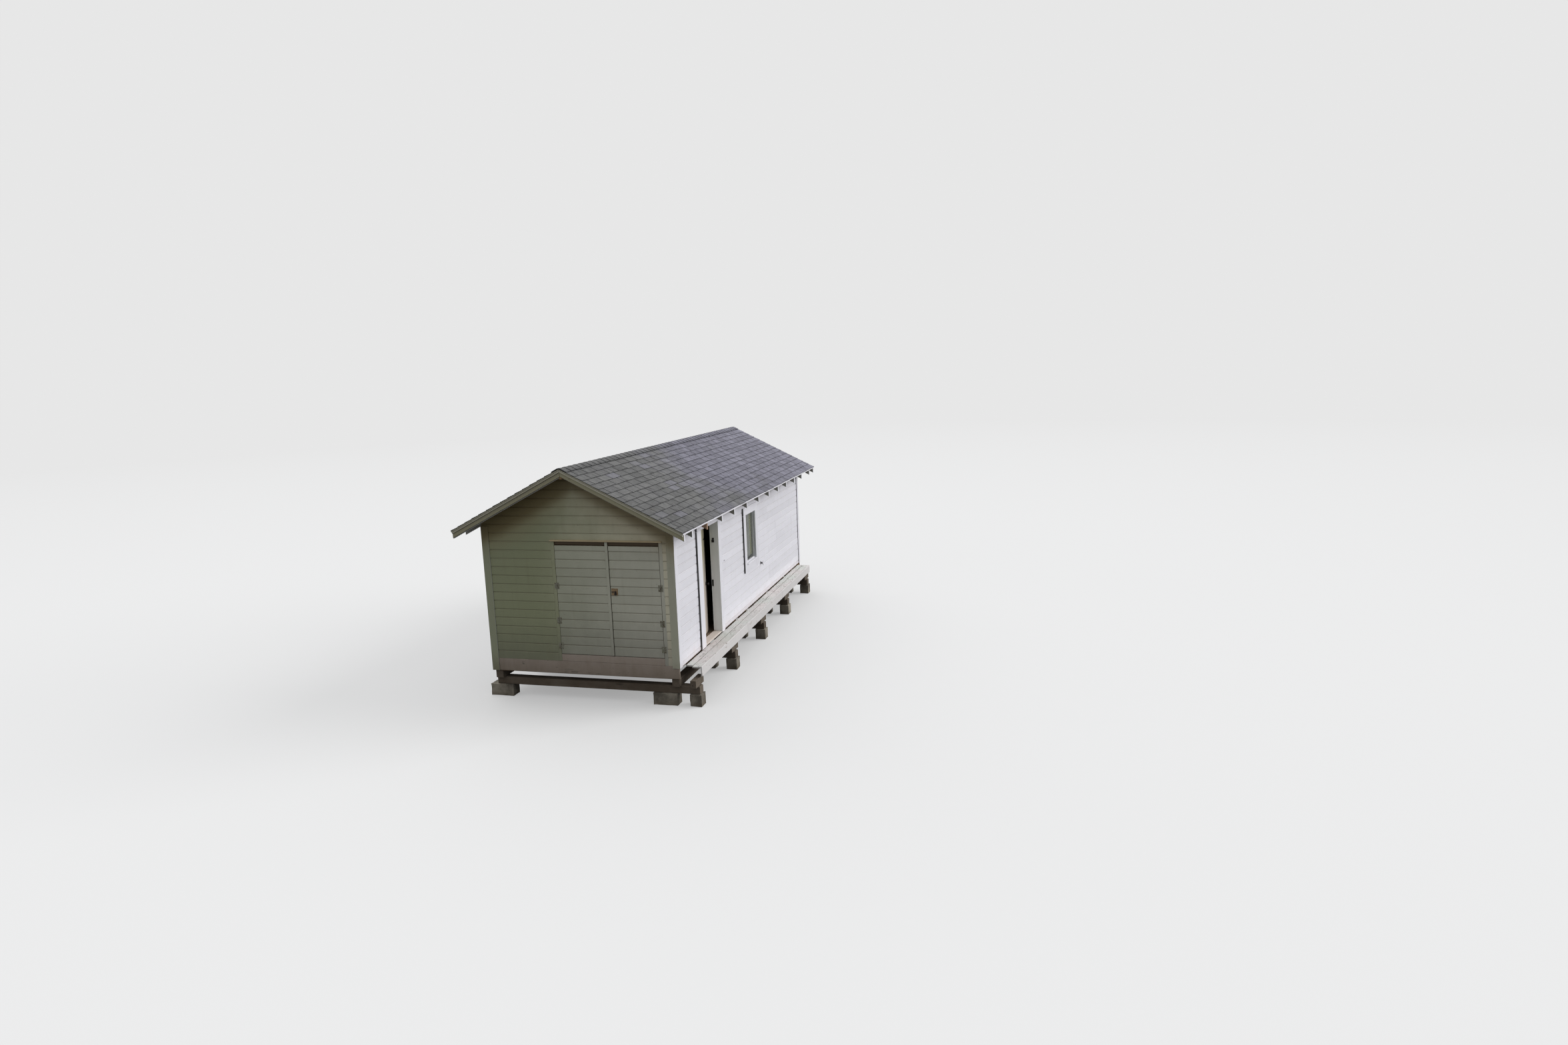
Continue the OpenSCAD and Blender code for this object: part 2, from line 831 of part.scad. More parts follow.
module window_sash() {
    y0 = y_front + win_y0 - sash_lap;
    y1 = y_front + win_y1 + sash_lap;
    color("white")
        along_x(frame_x - 20, frame_x + 10)
            difference() {
                translate([y0, win_z0]) square([y1 - y0, win_z1 - win_z0 + sash_lap]);
                pane_outline(0);
            }
}

// only narrow edges of the stiles and rails show inside the casing: the rest is behind it
sash_lap = win_rough - 1;
stile_shown = 14;
rail_shown = 16;
module pane_outline(inset) {
    y0 = y_front + win_y0 + stile_shown + inset;
    y1 = y_front + win_y1 - stile_shown - inset;
    z0 = win_z0 + rail_shown + inset;
    z1 = win_z1 - rail_shown - inset;
    translate([y0, z0]) square([y1 - y0, z1 - z0]);
}

module window_glass() {
    color("lightsteelblue") along_x(frame_x - 8, frame_x - 4) pane_outline(0);
}

rod_r = 5;
rod_x = inner_x + stud_d / 2;
rod_z = win_z1 + rod_r;

// runs between the two studs beside the window
module curtain_rod() {
    color("dimgray")
        translate([rod_x, win_rough0, rod_z])
            rotate([-90, 0, 0]) cylinder(h = win_rough1 - win_rough0, r = rod_r);
}

// the room that the gathered curtain takes up, from the rod to a little above the sill
module window_curtain() {
    half_t = 16;
    side_gap = 24;
    hem_z = win_z0 + 50;
    color("gray")
        block(rod_x - half_t, rod_x + half_t, win_rough0 + side_gap, win_rough1 - side_gap,
              hem_z, rod_z - rod_r - fudge);
}

// Roof

// how far each rafter between the end walls was set off the even spacing
rafter_shift = [-23, 23, -4, 33, 86, 98, 90, 49, 33, 9];
// near faces of the rafters, from the front wall: the first and last stand on the end walls
rafter_near = [
    siding_t,
    for (i = [0 : len(rafter_shift) - 1]) siding_t + (i + 1) * rafter_step + rafter_shift[i],
    wall_l - siding_t - lumber_t,
];
rafter_pairs = len(rafter_near);
function rafter_y(i) = y_front + rafter_near[i] + lumber_t / 2;

// a rafter of the +X slope, with its plumb cuts and its bird's mouth on the plate
module rafter_outline() {
    x0 = lumber_t / 2;
    polygon([
        [x0, rafter_top(x0)],
        [tail_x, rafter_top(tail_x)],
        [tail_x, rafter_low(tail_x)],
        [frame_x, rafter_low(frame_x)],
        [frame_x, plate_z],
        [inner_x, plate_z],
        [x0, rafter_low(x0)],
    ]);
}

module rafters() {
    color("white")
        for (i = [0 : rafter_pairs - 1])
            along_y(rafter_y(i) - lumber_t / 2, rafter_y(i) + lumber_t / 2)
                for (s = [0, 1])
                    mirror([s, 0]) rafter_outline();
}

rake_gap = 8;
rake_trim_t = 19;
y_barge0 = y_rake0 + rake_gap + rake_trim_t;
y_barge1 = y_rake1 - rake_gap - rake_trim_t;

module ridge_board() {
    half = lumber_t / 2;
    color("burlywood")
        block(-half, half, y_barge0 + rake_trim_t, y_barge1 - rake_trim_t,
              ridge_low, rafter_top(half));
}

// ties that lie on the plates beside every second rafter pair
module ceiling_ties() {
    color("burlywood")
        for (i = [2 : 2 : rafter_pairs - 2]) {
            y = rafter_y(i) + lumber_t / 2;
            along_y(y, y + lumber_t)
                intersection() {
                    translate([-frame_x, plate_z]) square([2 * frame_x, stud_d]);
                    polygon([[-eave_x, 0], [eave_x, 0], [eave_x, rafter_top(eave_x)],
                             [0, rafter_top(0)], [-eave_x, rafter_top(eave_x)]]);
                }
        }
}

// boards between the rafters that close the wall up to the roof boards
module eave_blocking() {
    color("white")
        for (s = [0, 1])
            mirror([s, 0, 0])
                for (i = [0 : rafter_pairs - 2])
                    along_y(rafter_y(i) + lumber_t / 2, rafter_y(i + 1) - lumber_t / 2)
                        polygon([
                            [frame_x, side_top_z + fudge],
                            [half_w, side_top_z + fudge],
                            [half_w, rafter_top(half_w)],
                            [frame_x, rafter_top(frame_x)],
                        ]);
}

// a layer of the +X slope between two depths below the shingle faces
module slope_layer(x0, x1, depth0, depth1) {
    polygon([
        [x0, top_z(x0) - depth0],
        [x1, top_z(x1) - depth0],
        [x1, top_z(x1) - depth1],
        [x0, top_z(x0) - depth1],
    ]);
}

module roof_boards() {
    color("burlywood")
        along_y(y_barge0 + rake_trim_t, y_barge1 - rake_trim_t)
            slope_layer(0, deck_edge_x, shingle_v, shingle_v + board_v);
}

module roof_boards_right() {
    roof_boards();
}

module roof_boards_left() {
    mirror([1, 0, 0]) roof_boards();
}

module shingles() {
    color("dimgray") along_y(y_rake0, y_rake1) slope_layer(0, eave_x, 0, shingle_v);
}

module shingles_right() {
    shingles();
}

module shingles_left() {
    mirror([1, 0, 0]) shingles();
}

module ridge_cap() {
    cap_t = 10;
    color("dimgray")
        along_y(y_rake0, y_rake1)
            for (s = [0, 1])
                mirror([s, 0]) slope_layer(0, cap_w, -cap_t, 0);
}

// rake of one gable end: fly rafter, barge board and the narrow trim outside it
module gable_rake() {
    gap = 2;
    trim_v = 47;
    barge_v = 110;
    color("white")
        for (s = [0, 1])
            mirror([s, 0, 0]) {
                along_y(0, rake_trim_t)
                    slope_layer(gap, deck_edge_x, shingle_v, shingle_v + trim_v);
                along_y(rake_trim_t, 2 * rake_trim_t)
                    slope_layer(gap, deck_edge_x, shingle_v, shingle_v + barge_v);
                along_y(2 * rake_trim_t, 2 * rake_trim_t + lumber_t)
                    slope_layer(lumber_t / 2, tail_x, shingle_v + board_v,
                                shingle_v + board_v + rafter_v);
            }
}

module rake_boards() {
    translate([0, y_rake0 + rake_gap, 0]) gable_rake();
    translate([0, y_rake1 - rake_gap, 0]) mirror([0, 1, 0]) gable_rake();
}

module eave_edges() {
    color("white")
        for (s = [0, 1])
            mirror([s, 0, 0])
                along_y(y_rake0 + rake_gap, y_rake1 - rake_gap)
                    slope_layer(deck_edge_x, deck_edge_x + eave_strip_t,
                                shingle_v, shingle_v + board_v);
}

pier_blocks();
pier_bearers();
walkway_cribs();
floor_beams();
floor_joists();
floor_deck();
walkway_planks();
walkway_fascia();
side_wall_plates();
side_wall_studs();
end_wall_plates();
end_wall_studs();
left_siding();
back_siding();
right_siding();
front_siding();
corner_boards();
front_door_trim();
door_sills();
front_door_left();
front_door_right();
fixed_hinge_plates();
left_leaf_hinges();
right_leaf_hinges();
front_door_hasp();
side_door_frame();
side_casings();
side_door();
side_door_hardware();
wall_ironwork();
window_sash();
window_glass();
curtain_rod();
window_curtain();
rafters();
ridge_board();
ceiling_ties();
eave_blocking();
roof_boards_left();
roof_boards_right();
shingles_left();
shingles_right();
ridge_cap();
rake_boards();
eave_edges();
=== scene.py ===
import json
import math
import random
from functools import cached_property

import bmesh
import bpy
from mathutils import Matrix, Vector, noise


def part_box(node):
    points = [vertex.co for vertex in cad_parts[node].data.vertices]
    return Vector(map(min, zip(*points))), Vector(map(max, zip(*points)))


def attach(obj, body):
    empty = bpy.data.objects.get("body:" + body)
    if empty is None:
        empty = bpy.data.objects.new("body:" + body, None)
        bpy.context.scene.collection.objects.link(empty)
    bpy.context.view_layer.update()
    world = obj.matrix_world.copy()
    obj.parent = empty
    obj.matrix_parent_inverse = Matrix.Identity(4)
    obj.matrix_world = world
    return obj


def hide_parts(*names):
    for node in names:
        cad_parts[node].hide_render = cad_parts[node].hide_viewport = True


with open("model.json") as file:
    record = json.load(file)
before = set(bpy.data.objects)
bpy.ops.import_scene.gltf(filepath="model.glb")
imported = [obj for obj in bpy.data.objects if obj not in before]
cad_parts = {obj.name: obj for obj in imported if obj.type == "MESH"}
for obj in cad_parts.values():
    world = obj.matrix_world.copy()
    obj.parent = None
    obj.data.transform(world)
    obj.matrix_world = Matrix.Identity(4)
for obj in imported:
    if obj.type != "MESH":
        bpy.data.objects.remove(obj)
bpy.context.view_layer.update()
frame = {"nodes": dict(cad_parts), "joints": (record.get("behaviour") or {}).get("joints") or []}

# Places worked out from the frame
FRONT_LOW, FRONT_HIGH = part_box("front_siding")
BACK_LOW, BACK_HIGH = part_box("back_siding")
TRIM_LOW, TRIM_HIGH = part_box("front_door_trim")
DOORWAY_LOW, DOORWAY_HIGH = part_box("side_door_frame")
SASH_LOW, SASH_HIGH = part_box("window_sash")
SHINGLE_LOW, SHINGLE_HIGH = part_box("shingles_right")
DECK_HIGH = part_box("roof_boards_right")[1]

HALF_W = FRONT_HIGH.x
SIDING_T = FRONT_HIGH.y - FRONT_LOW.y
Y_FRONT = FRONT_LOW.y
Y_BACK = BACK_HIGH.y
SKIRT_Z = BACK_LOW.z
DRIP_STRIP_T = 0.022
DOOR_HEAD_Z = TRIM_HIGH.z - DRIP_STRIP_T

# The roof. Names in _V are plumb measures: of the shingles' layer, a roof board and a rafter.
PITCH = 0.5
SLANT = math.hypot(1, PITCH)
RIDGE_Z = SHINGLE_HIGH.z
Y_RAKE0 = SHINGLE_LOW.y
Y_RAKE1 = SHINGLE_HIGH.y
EAVE_X = SHINGLE_HIGH.x
DECK_EDGE_X = DECK_HIGH.x
RAFTER_TAIL_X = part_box("rafters")[1].x
SHINGLE_V = RIDGE_Z - DECK_HIGH.z
BOARD_V = 0.019 * SLANT
RAFTER_V = 0.089 * SLANT
GABLE_TOP_Z = RIDGE_Z - SHINGLE_V - BOARD_V

# Siding courses: their lines on the gable end and, a little higher, on the other walls
COURSE_H = 0.1307
FRONT_COURSE_Z = 0.629
SIDE_COURSE_Z = 0.664
STUD_PITCH = 0.610
# The cove at the top of a siding board, as (depth, height above the lip), and its height
COVE = ((0.0022, 0.0008), (0.0042, 0.0024), (0.0056, 0.0050), (0.0063, 0.0084), (0.0065, 0.0120))
COVE_H = 0.021

# Shingle courses
EXPOSURE = 0.1367
TAB_W = 0.305
SLOT_W = 0.0105
CAP_EXPOSURE = 0.164
CAP_REACH = 0.130


def srgb(r, g, b):
    """A colour given as 0 to 255, as the linear values that shaders take."""
    levels = []
    for c in (r / 255, g / 255, b / 255):
        levels.append(c / 12.92 if c < 0.04045 else ((c + 0.055) / 1.055) ** 2.4)
    return (*levels, 1.0)


WHITE_PAINT = srgb(218, 217, 223)
REVEAL_PAINT = srgb(224, 228, 228)
GREY_WOOD = srgb(133, 124, 112)
PALE_WOOD = srgb(176, 160, 146)
AGED_WOOD = srgb(118, 92, 64)
# Dirt. It also darkens coves and ledges, where it is painted shade.
DIRT_AND_SHADE = srgb(96, 84, 66)
FOOT_DIRT = srgb(92, 89, 84)
PINK_DIRT = srgb(196, 170, 160)
DARK_RUST = srgb(58, 40, 32)
IRON = srgb(42, 41, 42)


# Materials

class Wire:
    """A value on its way through a node tree, so that a material reads as sums and products."""

    def __init__(self, nodes, socket):
        self.nodes = nodes
        self.socket = socket

    def __add__(self, other):
        return self.nodes.math("ADD", self, other)

    def __sub__(self, other):
        return self.nodes.math("SUBTRACT", self, other)

    def __rsub__(self, other):
        return self.nodes.math("SUBTRACT", other, self)

    def __mul__(self, other):
        return self.nodes.math("MULTIPLY", self, other)

    def __abs__(self):
        return self.nodes.math("ABSOLUTE", self, 0.0)

    __radd__ = __add__

    def axis(self, letter):
        return self.nodes.add("SeparateXYZ", {0: self}, letter)

    def mask(self, start, end):
        """0 up to start and 1 from end on, or the other way round if start is the larger."""
        inputs = {"Value": self, "From Min": start, "From Max": end}
        return self.nodes.add("MapRange", inputs, interpolation_type="SMOOTHSTEP")

    def span(self, start, end, low, high):
        """The stretch from start to end, laid out evenly from low to high."""
        inputs = {"Value": self, "From Min": start, "From Max": end, "To Min": low, "To Max": high}
        return self.nodes.add("MapRange", inputs)


class Nodes:
    """The node tree of a material or world. Each method adds nodes and returns an output."""

    def __init__(self, owner):
        owner.use_nodes = True
        self.tree = owner.node_tree

    def feed(self, socket, value):
        if isinstance(value, Wire):
            self.tree.links.new(value.socket, socket)
        else:
            socket.default_value = value

    def add(self, kind, inputs=None, output=0, **settings):
        made = self.tree.nodes.new("ShaderNode" + kind)
        for key, value in settings.items():
            setattr(made, key, value)
        for key, value in (inputs or {}).items():
            self.feed(made.inputs[key], value)
        return Wire(self, made.outputs[output]) if made.outputs else None

    def math(self, operation, a, b):
        return self.add("Math", {0: a, 1: b}, operation=operation)

    def scaled(self, vector, scale):
        """A texture's inputs, for one scale all round or one along each axis."""
        if isinstance(scale, tuple):
            vector = self.add("VectorMath", {0: vector, 1: scale}, operation="MULTIPLY")
            scale = 1.0
        return {"Vector": vector, "Scale": scale}

    def noise(self, vector, scale, detail=4.0, roughness=0.55):
        inputs = self.scaled(vector, scale)
        return self.add("TexNoise", {**inputs, "Detail": detail, "Roughness": roughness})

    def cells(self, vector, scale, output="Distance"):
        return self.add("TexVoronoi", self.scaled(vector, scale), output)

    def mix(self, share, a, b):
        return self.add("Mix", {0: share, 6: a, 7: b}, 2, data_type="RGBA")

    def shaded(self, colour, brightness):
        colour = colour if isinstance(colour, Wire) else colour[:3]
        return self.add("VectorMath", {0: colour, "Scale": brightness}, operation="SCALE")

    def rays(self, *kinds):
        """1 for rays of these kinds and 0 for others."""
        path = self.tree.nodes.new("ShaderNodeLightPath")
        hit, *others = [Wire(self, path.outputs[f"Is {kind} Ray"]) for kind in kinds]
        for other in others:
            hit = self.math("MAXIMUM", hit, other)
        return hit


class Shader(Nodes):
    """A principled material. grain, tone and edge are what the pieces keep on their points."""

    def __init__(self, name):
        self.material = bpy.data.materials.new(name)
        super().__init__(self.material)

    @cached_property
    def grain(self):
        return self.add("Attribute", None, "Vector", attribute_name="grain")

    @cached_property
    def tone(self):
        return self.add("Attribute", None, "Fac", attribute_name="tone")

    @cached_property
    def edge(self):
        return self.add("Attribute", None, "Fac", attribute_name="edge")

    @cached_property
    def place(self):
        return self.add("TexCoord", None, "Object")

    def facing(self, letter, start, end):
        """How far faces turn towards an axis, from start to end of their normal's share."""
        return self.add("NewGeometry", None, "Normal").axis(letter).mask(start, end)

    def finish(self, colour, roughness, height, depth, **more):
        """Feeds the shader, and bumps it by a height that is so many metres deep."""
        bump = self.add("Bump", {"Height": height, "Distance": depth, "Strength": 1.0}, "Normal")
        inputs = {"Base Color": colour, "Roughness": roughness, "Normal": bump, **more}
        for key, value in inputs.items():
            self.feed(self.tree.nodes["Principled BSDF"].inputs[key.replace("_", " ")], value)
        return self.material


def gable_stains_and_shade(s, colour, cloud, blotch, cover):
    """The land end: a green film with painted tree shade, darker towards its left side, and brown stains
    deepened by painted shade under the rakes.
    """
    # Green film and painted tree shade, stronger towards the left side.
    across = s.place.axis("X") + cloud * 1.6 + blotch * 0.5
    colour = s.mix(across.mask(2.8, 0.2) * cover, colour, srgb(112, 121, 86))
    under_rake = (RIDGE_Z - 0.16) - (s.place.axis("Z") + abs(s.place.axis("X")) * PITCH)
    pale = (under_rake + cloud * 0.5).mask(0.85, 0.35)
    colour = s.mix(pale * 0.36, colour, srgb(152, 133, 98))
    # The darkest band right under the rake is painted shade under the overhang, over brown stain.
    dark = (under_rake + cloud * 0.25).mask(0.46, 0.24)
    return s.mix(dark * 0.70, colour, srgb(96, 80, 36))


def painted_wood(
    name, paint, bare=PALE_WOOD, wear=0.14, front=None, foot=0.0, grooves=0.5, gable=0.0, dirt=DIRT_AND_SHADE,
    low_paint=None, ledge_dust_and_shade=0.0,
):
    """Old house paint over boards. wear is how much has come off, front the paint of faces
    towards -Y (where it is darker than the paint, it is painted shade), foot the height of the
    dirty band above the skirt, low_paint the paint of the lower half, gable the cover of the
    green film with its painted tree shade, grooves how dark the coves and lower board edges are
    drawn with dirt and painted shade, and ledges the dust and painted shade on faces that look up."""
    s = Shader(name)
    fibre = s.noise(s.grain, (2.2, 70, 70), 6)
    cloud = s.noise(s.place, 0.9, 3)
    blotch = s.noise(s.place, 6.0, 5, 0.65)
    streak = s.noise(s.place, (11, 11, 0.9), 4)
    brightness = 0.80 + s.tone * 0.09 + cloud * 0.12 + blotch * 0.11 + fibre * 0.08
    if low_paint:
        level = s.place.axis("Z") + cloud * 0.5
        paint = s.mix(level.mask(2.45, 1.55), paint, low_paint)
    colour = s.shaded(paint, brightness)
    # Faces towards -Y take the front colour: painted shade where it is darker than the paint.
    if front:
        colour = s.mix(s.facing("Y", -0.55, -0.85), colour, s.shaded(front, brightness))
    if gable:
        colour = gable_stains_and_shade(s, colour, cloud, blotch, gable)
    low = 0.0
    if foot:
        level = s.place.axis("Z") + streak * 0.30 + blotch * 0.2
        low = level.mask(SKIRT_Z + foot, SKIRT_Z + 0.15)
        colour = s.mix(low * 0.55, colour, dirt)
    grime = streak.mask(0.55, 0.80) * 0.10
    dashes = s.noise(s.grain, (4, 30, 1), 3).mask(0.54, 0.68)
    # edge is highest deep in the coves and under lower board edges: this darkening is dirt and painted
    # shade.
    colour = s.mix(grime + s.edge * (dashes * 0.12 + grooves * 0.85), colour, DIRT_AND_SHADE)
    # Faces that look up are darkened: dust, and painted shade that dims the light the cove ledges catch.
    if ledge_dust_and_shade:
        colour = s.mix(s.facing("Z", 0.15, 0.7) * ledge_dust_and_shade, colour, DIRT_AND_SHADE)
    specks = s.cells(s.grain, (6, 14, 14)).mask(0.10, 0.06)
    colour = s.mix(specks * 0.22, colour, DIRT_AND_SHADE)
    scratch = s.noise(s.grain, (7, 45, 45), 8, 0.7)
    peel = blotch * 0.55 + scratch * 0.45 + low * 0.045
    gone = peel.mask(0.72 - 0.2 * wear, 0.735 - 0.2 * wear)
    colour = s.mix(gone, colour, s.mix(fibre.mask(0.35, 0.65), s.shaded(bare, 0.72), bare))
    height = fibre * 0.5 + scratch * 0.5 - gone * 0.9
    return s.finish(colour, gone.span(0, 1, 0.5, 0.85), height, 0.0012, Specular_IOR_Level=0.35)


def worn_plank_paint():
    """White deck paint with long curled cracks in patches and bare wood along the edges."""
    s = Shader("worn_plank_paint")
    fibre = s.noise(s.grain, (2.5, 90, 90), 6)
    blotch = s.noise(s.place, 7.0, 6, 0.7)
    curl = s.noise(s.grain, (4.2, 17, 17), 2, 0.55)
    worn_area = s.noise(s.place, 2.6, 4).mask(0.42, 0.56)
    crack = abs(curl - 0.50).mask(0.016, 0.005)
    patch = s.noise(s.place, 1.5, 3).mask(0.38, 0.64)
    paint = s.mix(patch, srgb(209, 203, 201), srgb(205, 207, 202))
    colour = s.shaded(paint, 0.72 + s.tone * 0.12 + blotch * 0.22 + fibre * 0.14)
    scuff = s.noise(s.grain, (6, 60, 60), 8, 0.72)
    gone = (scuff * 0.6 + blotch * 0.4 + s.edge * 0.10).mask(0.575, 0.62)
    bare = s.mix(fibre.mask(0.35, 0.65), srgb(124, 112, 104), srgb(174, 162, 152))
    colour = s.mix(gone * 0.7, colour, bare)
    colour = s.mix(crack * worn_area * 0.6, colour, srgb(84, 72, 66))
    colour = s.mix(s.edge * 0.5, colour, srgb(104, 90, 80))
    height = fibre * 0.6 - gone * 0.6 - crack * 0.6
    return s.finish(colour, 0.75, height, 0.002, Specular_IOR_Level=0.3)


def wood(name, pale, dark, roughness=0.8, grey=0.25):
    """Bare lumber: long fibres, growth bands, a few knots, age stains and some greying."""
    s = Shader(name)
    bands = s.noise(s.grain, (0.8, 26, 26), 3, 0.4)
    fibre = s.noise(s.grain, (3.0, 140, 140), 5)
    stain = s.noise(s.place, 2.4, 4)
    knots = s.cells(s.grain, (1.6, 11, 11)).mask(0.16, 0.05)
    colour = s.mix(bands * 0.7 + fibre * 0.35 + s.tone * 0.25 - 0.25, dark, pale)
    colour = s.mix(stain.mask(0.35, 0.65) * grey, colour, GREY_WOOD)
    colour = s.mix(stain.mask(0.6, 0.8) * 0.4, colour, s.shaded(dark, 0.5))
    colour = s.mix(knots * 0.7, colour, s.shaded(dark, 0.35))
    return s.finish(colour, roughness, fibre + bands, 0.0010)


def painted_hinge():
    """Steel that was painted over with the doors, with a little rust at its edges."""
    s = Shader("painted_hinge")
    patch = s.noise(s.place, 26, 5, 0.6)
    pit = s.noise(s.place, 220, 4)
    paint = s.mix(s.noise(s.place, 70, 3).mask(0.40, 0.62), srgb(118, 118, 104), srgb(142, 141, 126))
    colour = s.mix(patch.mask(0.50, 0.62) * 0.75, paint, srgb(84, 66, 50))
    return s.finish(colour, 0.75, pit + patch, 0.0008, Metallic=0.1)


def hasp_steel():
    """A plate with thin light rust, and a dark strap, staple and lock in front of it."""
    s = Shader("hasp_steel")
    patch = s.noise(s.place, 60, 5, 0.65)
    plate = s.mix(patch.mask(0.35, 0.65), srgb(126, 104, 78), srgb(158, 136, 106))
    dark = s.mix(patch.mask(0.45, 0.65), IRON, DARK_RUST)
    proud = s.place.axis("Y").mask(Y_FRONT - 0.0024, Y_FRONT - 0.0028)
    return s.finish(s.mix(proud, plate, dark), 0.8, s.noise(s.place, 300, 4), 0.0006, Metallic=0.2)


def rusted_steel():
    s = Shader("rusted_steel")
    patch = s.noise(s.place, 22, 6, 0.65)
    pit = s.noise(s.place, 260, 4)
    colour = s.mix(patch.mask(0.38, 0.62), DARK_RUST, srgb(124, 70, 38))
    colour = s.shaded(colour, pit.span(0.2, 0.8, 0.6, 1.3))
    return s.finish(colour, patch.span(0.3, 0.7, 0.65, 0.9), pit, 0.0008, Metallic=0.25)


def blackened_iron():
    s = Shader("blackened_iron")
    patch = s.noise(s.place, 45, 5, 0.6)
    colour = s.mix(patch.mask(0.55, 0.72), IRON, DARK_RUST)
    pit = s.noise(s.place, 300, 3)
    return s.finish(colour, patch.span(0.3, 0.7, 0.42, 0.7), pit, 0.0004, Metallic=0.6)


def concrete():
    """Rough cement with pores, damp and dirty at the ground."""
    s = Shader("concrete")
    stone = srgb(86, 80, 70)
    sand = s.noise(s.place, 120, 5, 0.7)
    pores = s.cells(s.place, 70).mask(0.22, 0.10)
    colour = s.mix(s.noise(s.place, 3.5, 5).mask(0.35, 0.7), srgb(150, 143, 130), stone)
    colour = s.shaded(colour, sand.span(0.25, 0.75, 0.75, 1.15))
    colour = s.mix(pores * 0.6, colour, stone)
    colour = s.mix(s.place.axis("Z").mask(0.09, 0.0) * 0.45, colour, DIRT_AND_SHADE)
    return s.finish(colour, 0.92, sand - pores, 0.0035)


def shingle_granules():
    """Mineral granules on tabs: small shifts of grey from tab to tab, streaks down the slope,
    and dark cut edges with painted shade in the slots and under the butts. Towards the lake end
    the roof is drawn cooler and lighter: a painted sheen of the sky seen at a flat angle."""
    s = Shader("shingle_granules")
    speck = s.cells(s.place, 330, "Color").axis("X")
    patch = s.noise(s.place, 16.0, 6, 0.75)
    field = s.noise(s.place, 0.8, 3)
    run = s.noise(s.grain, (30, 7, 1), 5, 0.65)
    drain = s.noise(s.grain, (4.5, 0.7, 1), 4, 0.6)
    along = s.place.axis("Y").span(Y_RAKE0, Y_RAKE1, 0, 1)
    share = s.tone * 0.26 + patch * 1.10 + field * 0.20 + speck * 0.30 + run * 1.10 + drain * 0.60 - 1.44
    warm = s.mix(share, srgb(80, 80, 80), srgb(132, 132, 131))
    cool = s.mix(share, srgb(86, 85, 94), srgb(142, 141, 154))
    # Painted sheen: the far end is cooler and lighter, as the sky shines off the slope there. odd_tabs are
    # tabs of a cooler tint.
    far_end_sheen = (along + field * 1.1).mask(0.72, 1.10)
    odd_tabs = s.tone.mask(0.90, 0.93) * 0.5
    sheen_and_tinted_tabs = s.math("MAXIMUM", far_end_sheen, odd_tabs)
    # The brightness also rises towards the far end: painted sheen.
    colour = s.shaded(s.mix(sheen_and_tinted_tabs, warm, cool), along.span(0, 1, 0.83, 1.20))
    stain = s.noise(s.place, 2.6, 6, 0.7).mask(0.60, 0.72)
    colour = s.mix(stain * 0.15, colour, DIRT_AND_SHADE)
    # Cut edges are dark asphalt. The base seen in the slots and the strip just under each butt are painted
    # shade.
    colour = s.mix(s.edge * 0.80, colour, srgb(30, 30, 33))
    return s.finish(colour, 0.9, speck + run, 0.0012, Specular_IOR_Level=0.3)


def curtain_cloth():
    """Grey cotton with an olive stripe, faded in places, with painted shade in the hollows of the folds.
    tone is 1 on their crests.
    """
    s = Shader("curtain_cloth")
    thread = {"Vector": s.grain, "Scale": 180.0}
    weft = s.add("TexWave", thread, wave_type="BANDS")
    warp = s.add("TexWave", thread, wave_type="BANDS", bands_direction="Y")
    stripe = s.grain.axis("X").mask(0.80, 0.81)
    fade = s.noise(s.grain, 5, 4).span(0.3, 0.7, 0.8, 1.05)
    # Painted shade: the cloth is darkest in the fold hollows and full bright on the crests.
    fold_shade = s.tone.span(0.15, 0.85, 0.30, 1.0)
    colour = s.mix(stripe, srgb(176, 176, 168), srgb(170, 170, 126))
    colour = s.shaded(colour, fold_shade * fade + (weft + warp) * 0.05)
    return s.finish(colour, 0.95, weft + warp, 0.0002, Sheen_Weight=0.3)


def old_glass():
    """A thin pane with rain streaks: it lets light through and mirrors more at a flat angle."""
    s = Shader("old_glass")
    streak = s.noise(s.place, (10, 34, 1.1), 5, 0.6)
    smear = s.noise(s.place, 14, 4)
    film = streak.mask(0.45, 0.75) * 0.10 + smear.mask(0.5, 0.8) * 0.06
    rim = s.add("Fresnel", {"IOR": 1.45})
    colour = s.mix(film, srgb(120, 126, 124), srgb(176, 174, 160))
    return s.finish(colour, 0.04, smear, 0.0006, Alpha=0.04 + film + rim * 0.30)


# ledges darkens faces that look up: dust and painted shade.
wall_paint = painted_wood(
    "wall_paint", WHITE_PAINT, wear=0.16, foot=0.6, grooves=0.20, dirt=PINK_DIRT, ledge_dust_and_shade=0.2
)
# The land end's paint and, below, its leaves' are darker, yellower copies of the white: painted shade.
gable_paint = painted_wood(
    "gable_paint", srgb(206, 201, 180), GREY_WOOD, foot=1.3, grooves=0.40, gable=0.80, dirt=FOOT_DIRT
)
leaf_paint = painted_wood(
    "leaf_paint", srgb(184, 183, 170), GREY_WOOD, foot=1.5, gable=0.45, dirt=FOOT_DIRT
)
# The front colours are for faces towards -Y: darker copies of the paint as painted shade.
corner_paint = painted_wood(
    "corner_paint", WHITE_PAINT, GREY_WOOD, 0.16, srgb(168, 168, 151), foot=0.6, gable=0.50
)
trim_paint = painted_wood("trim_paint", WHITE_PAINT, wear=0.16, front=srgb(164, 161, 138))
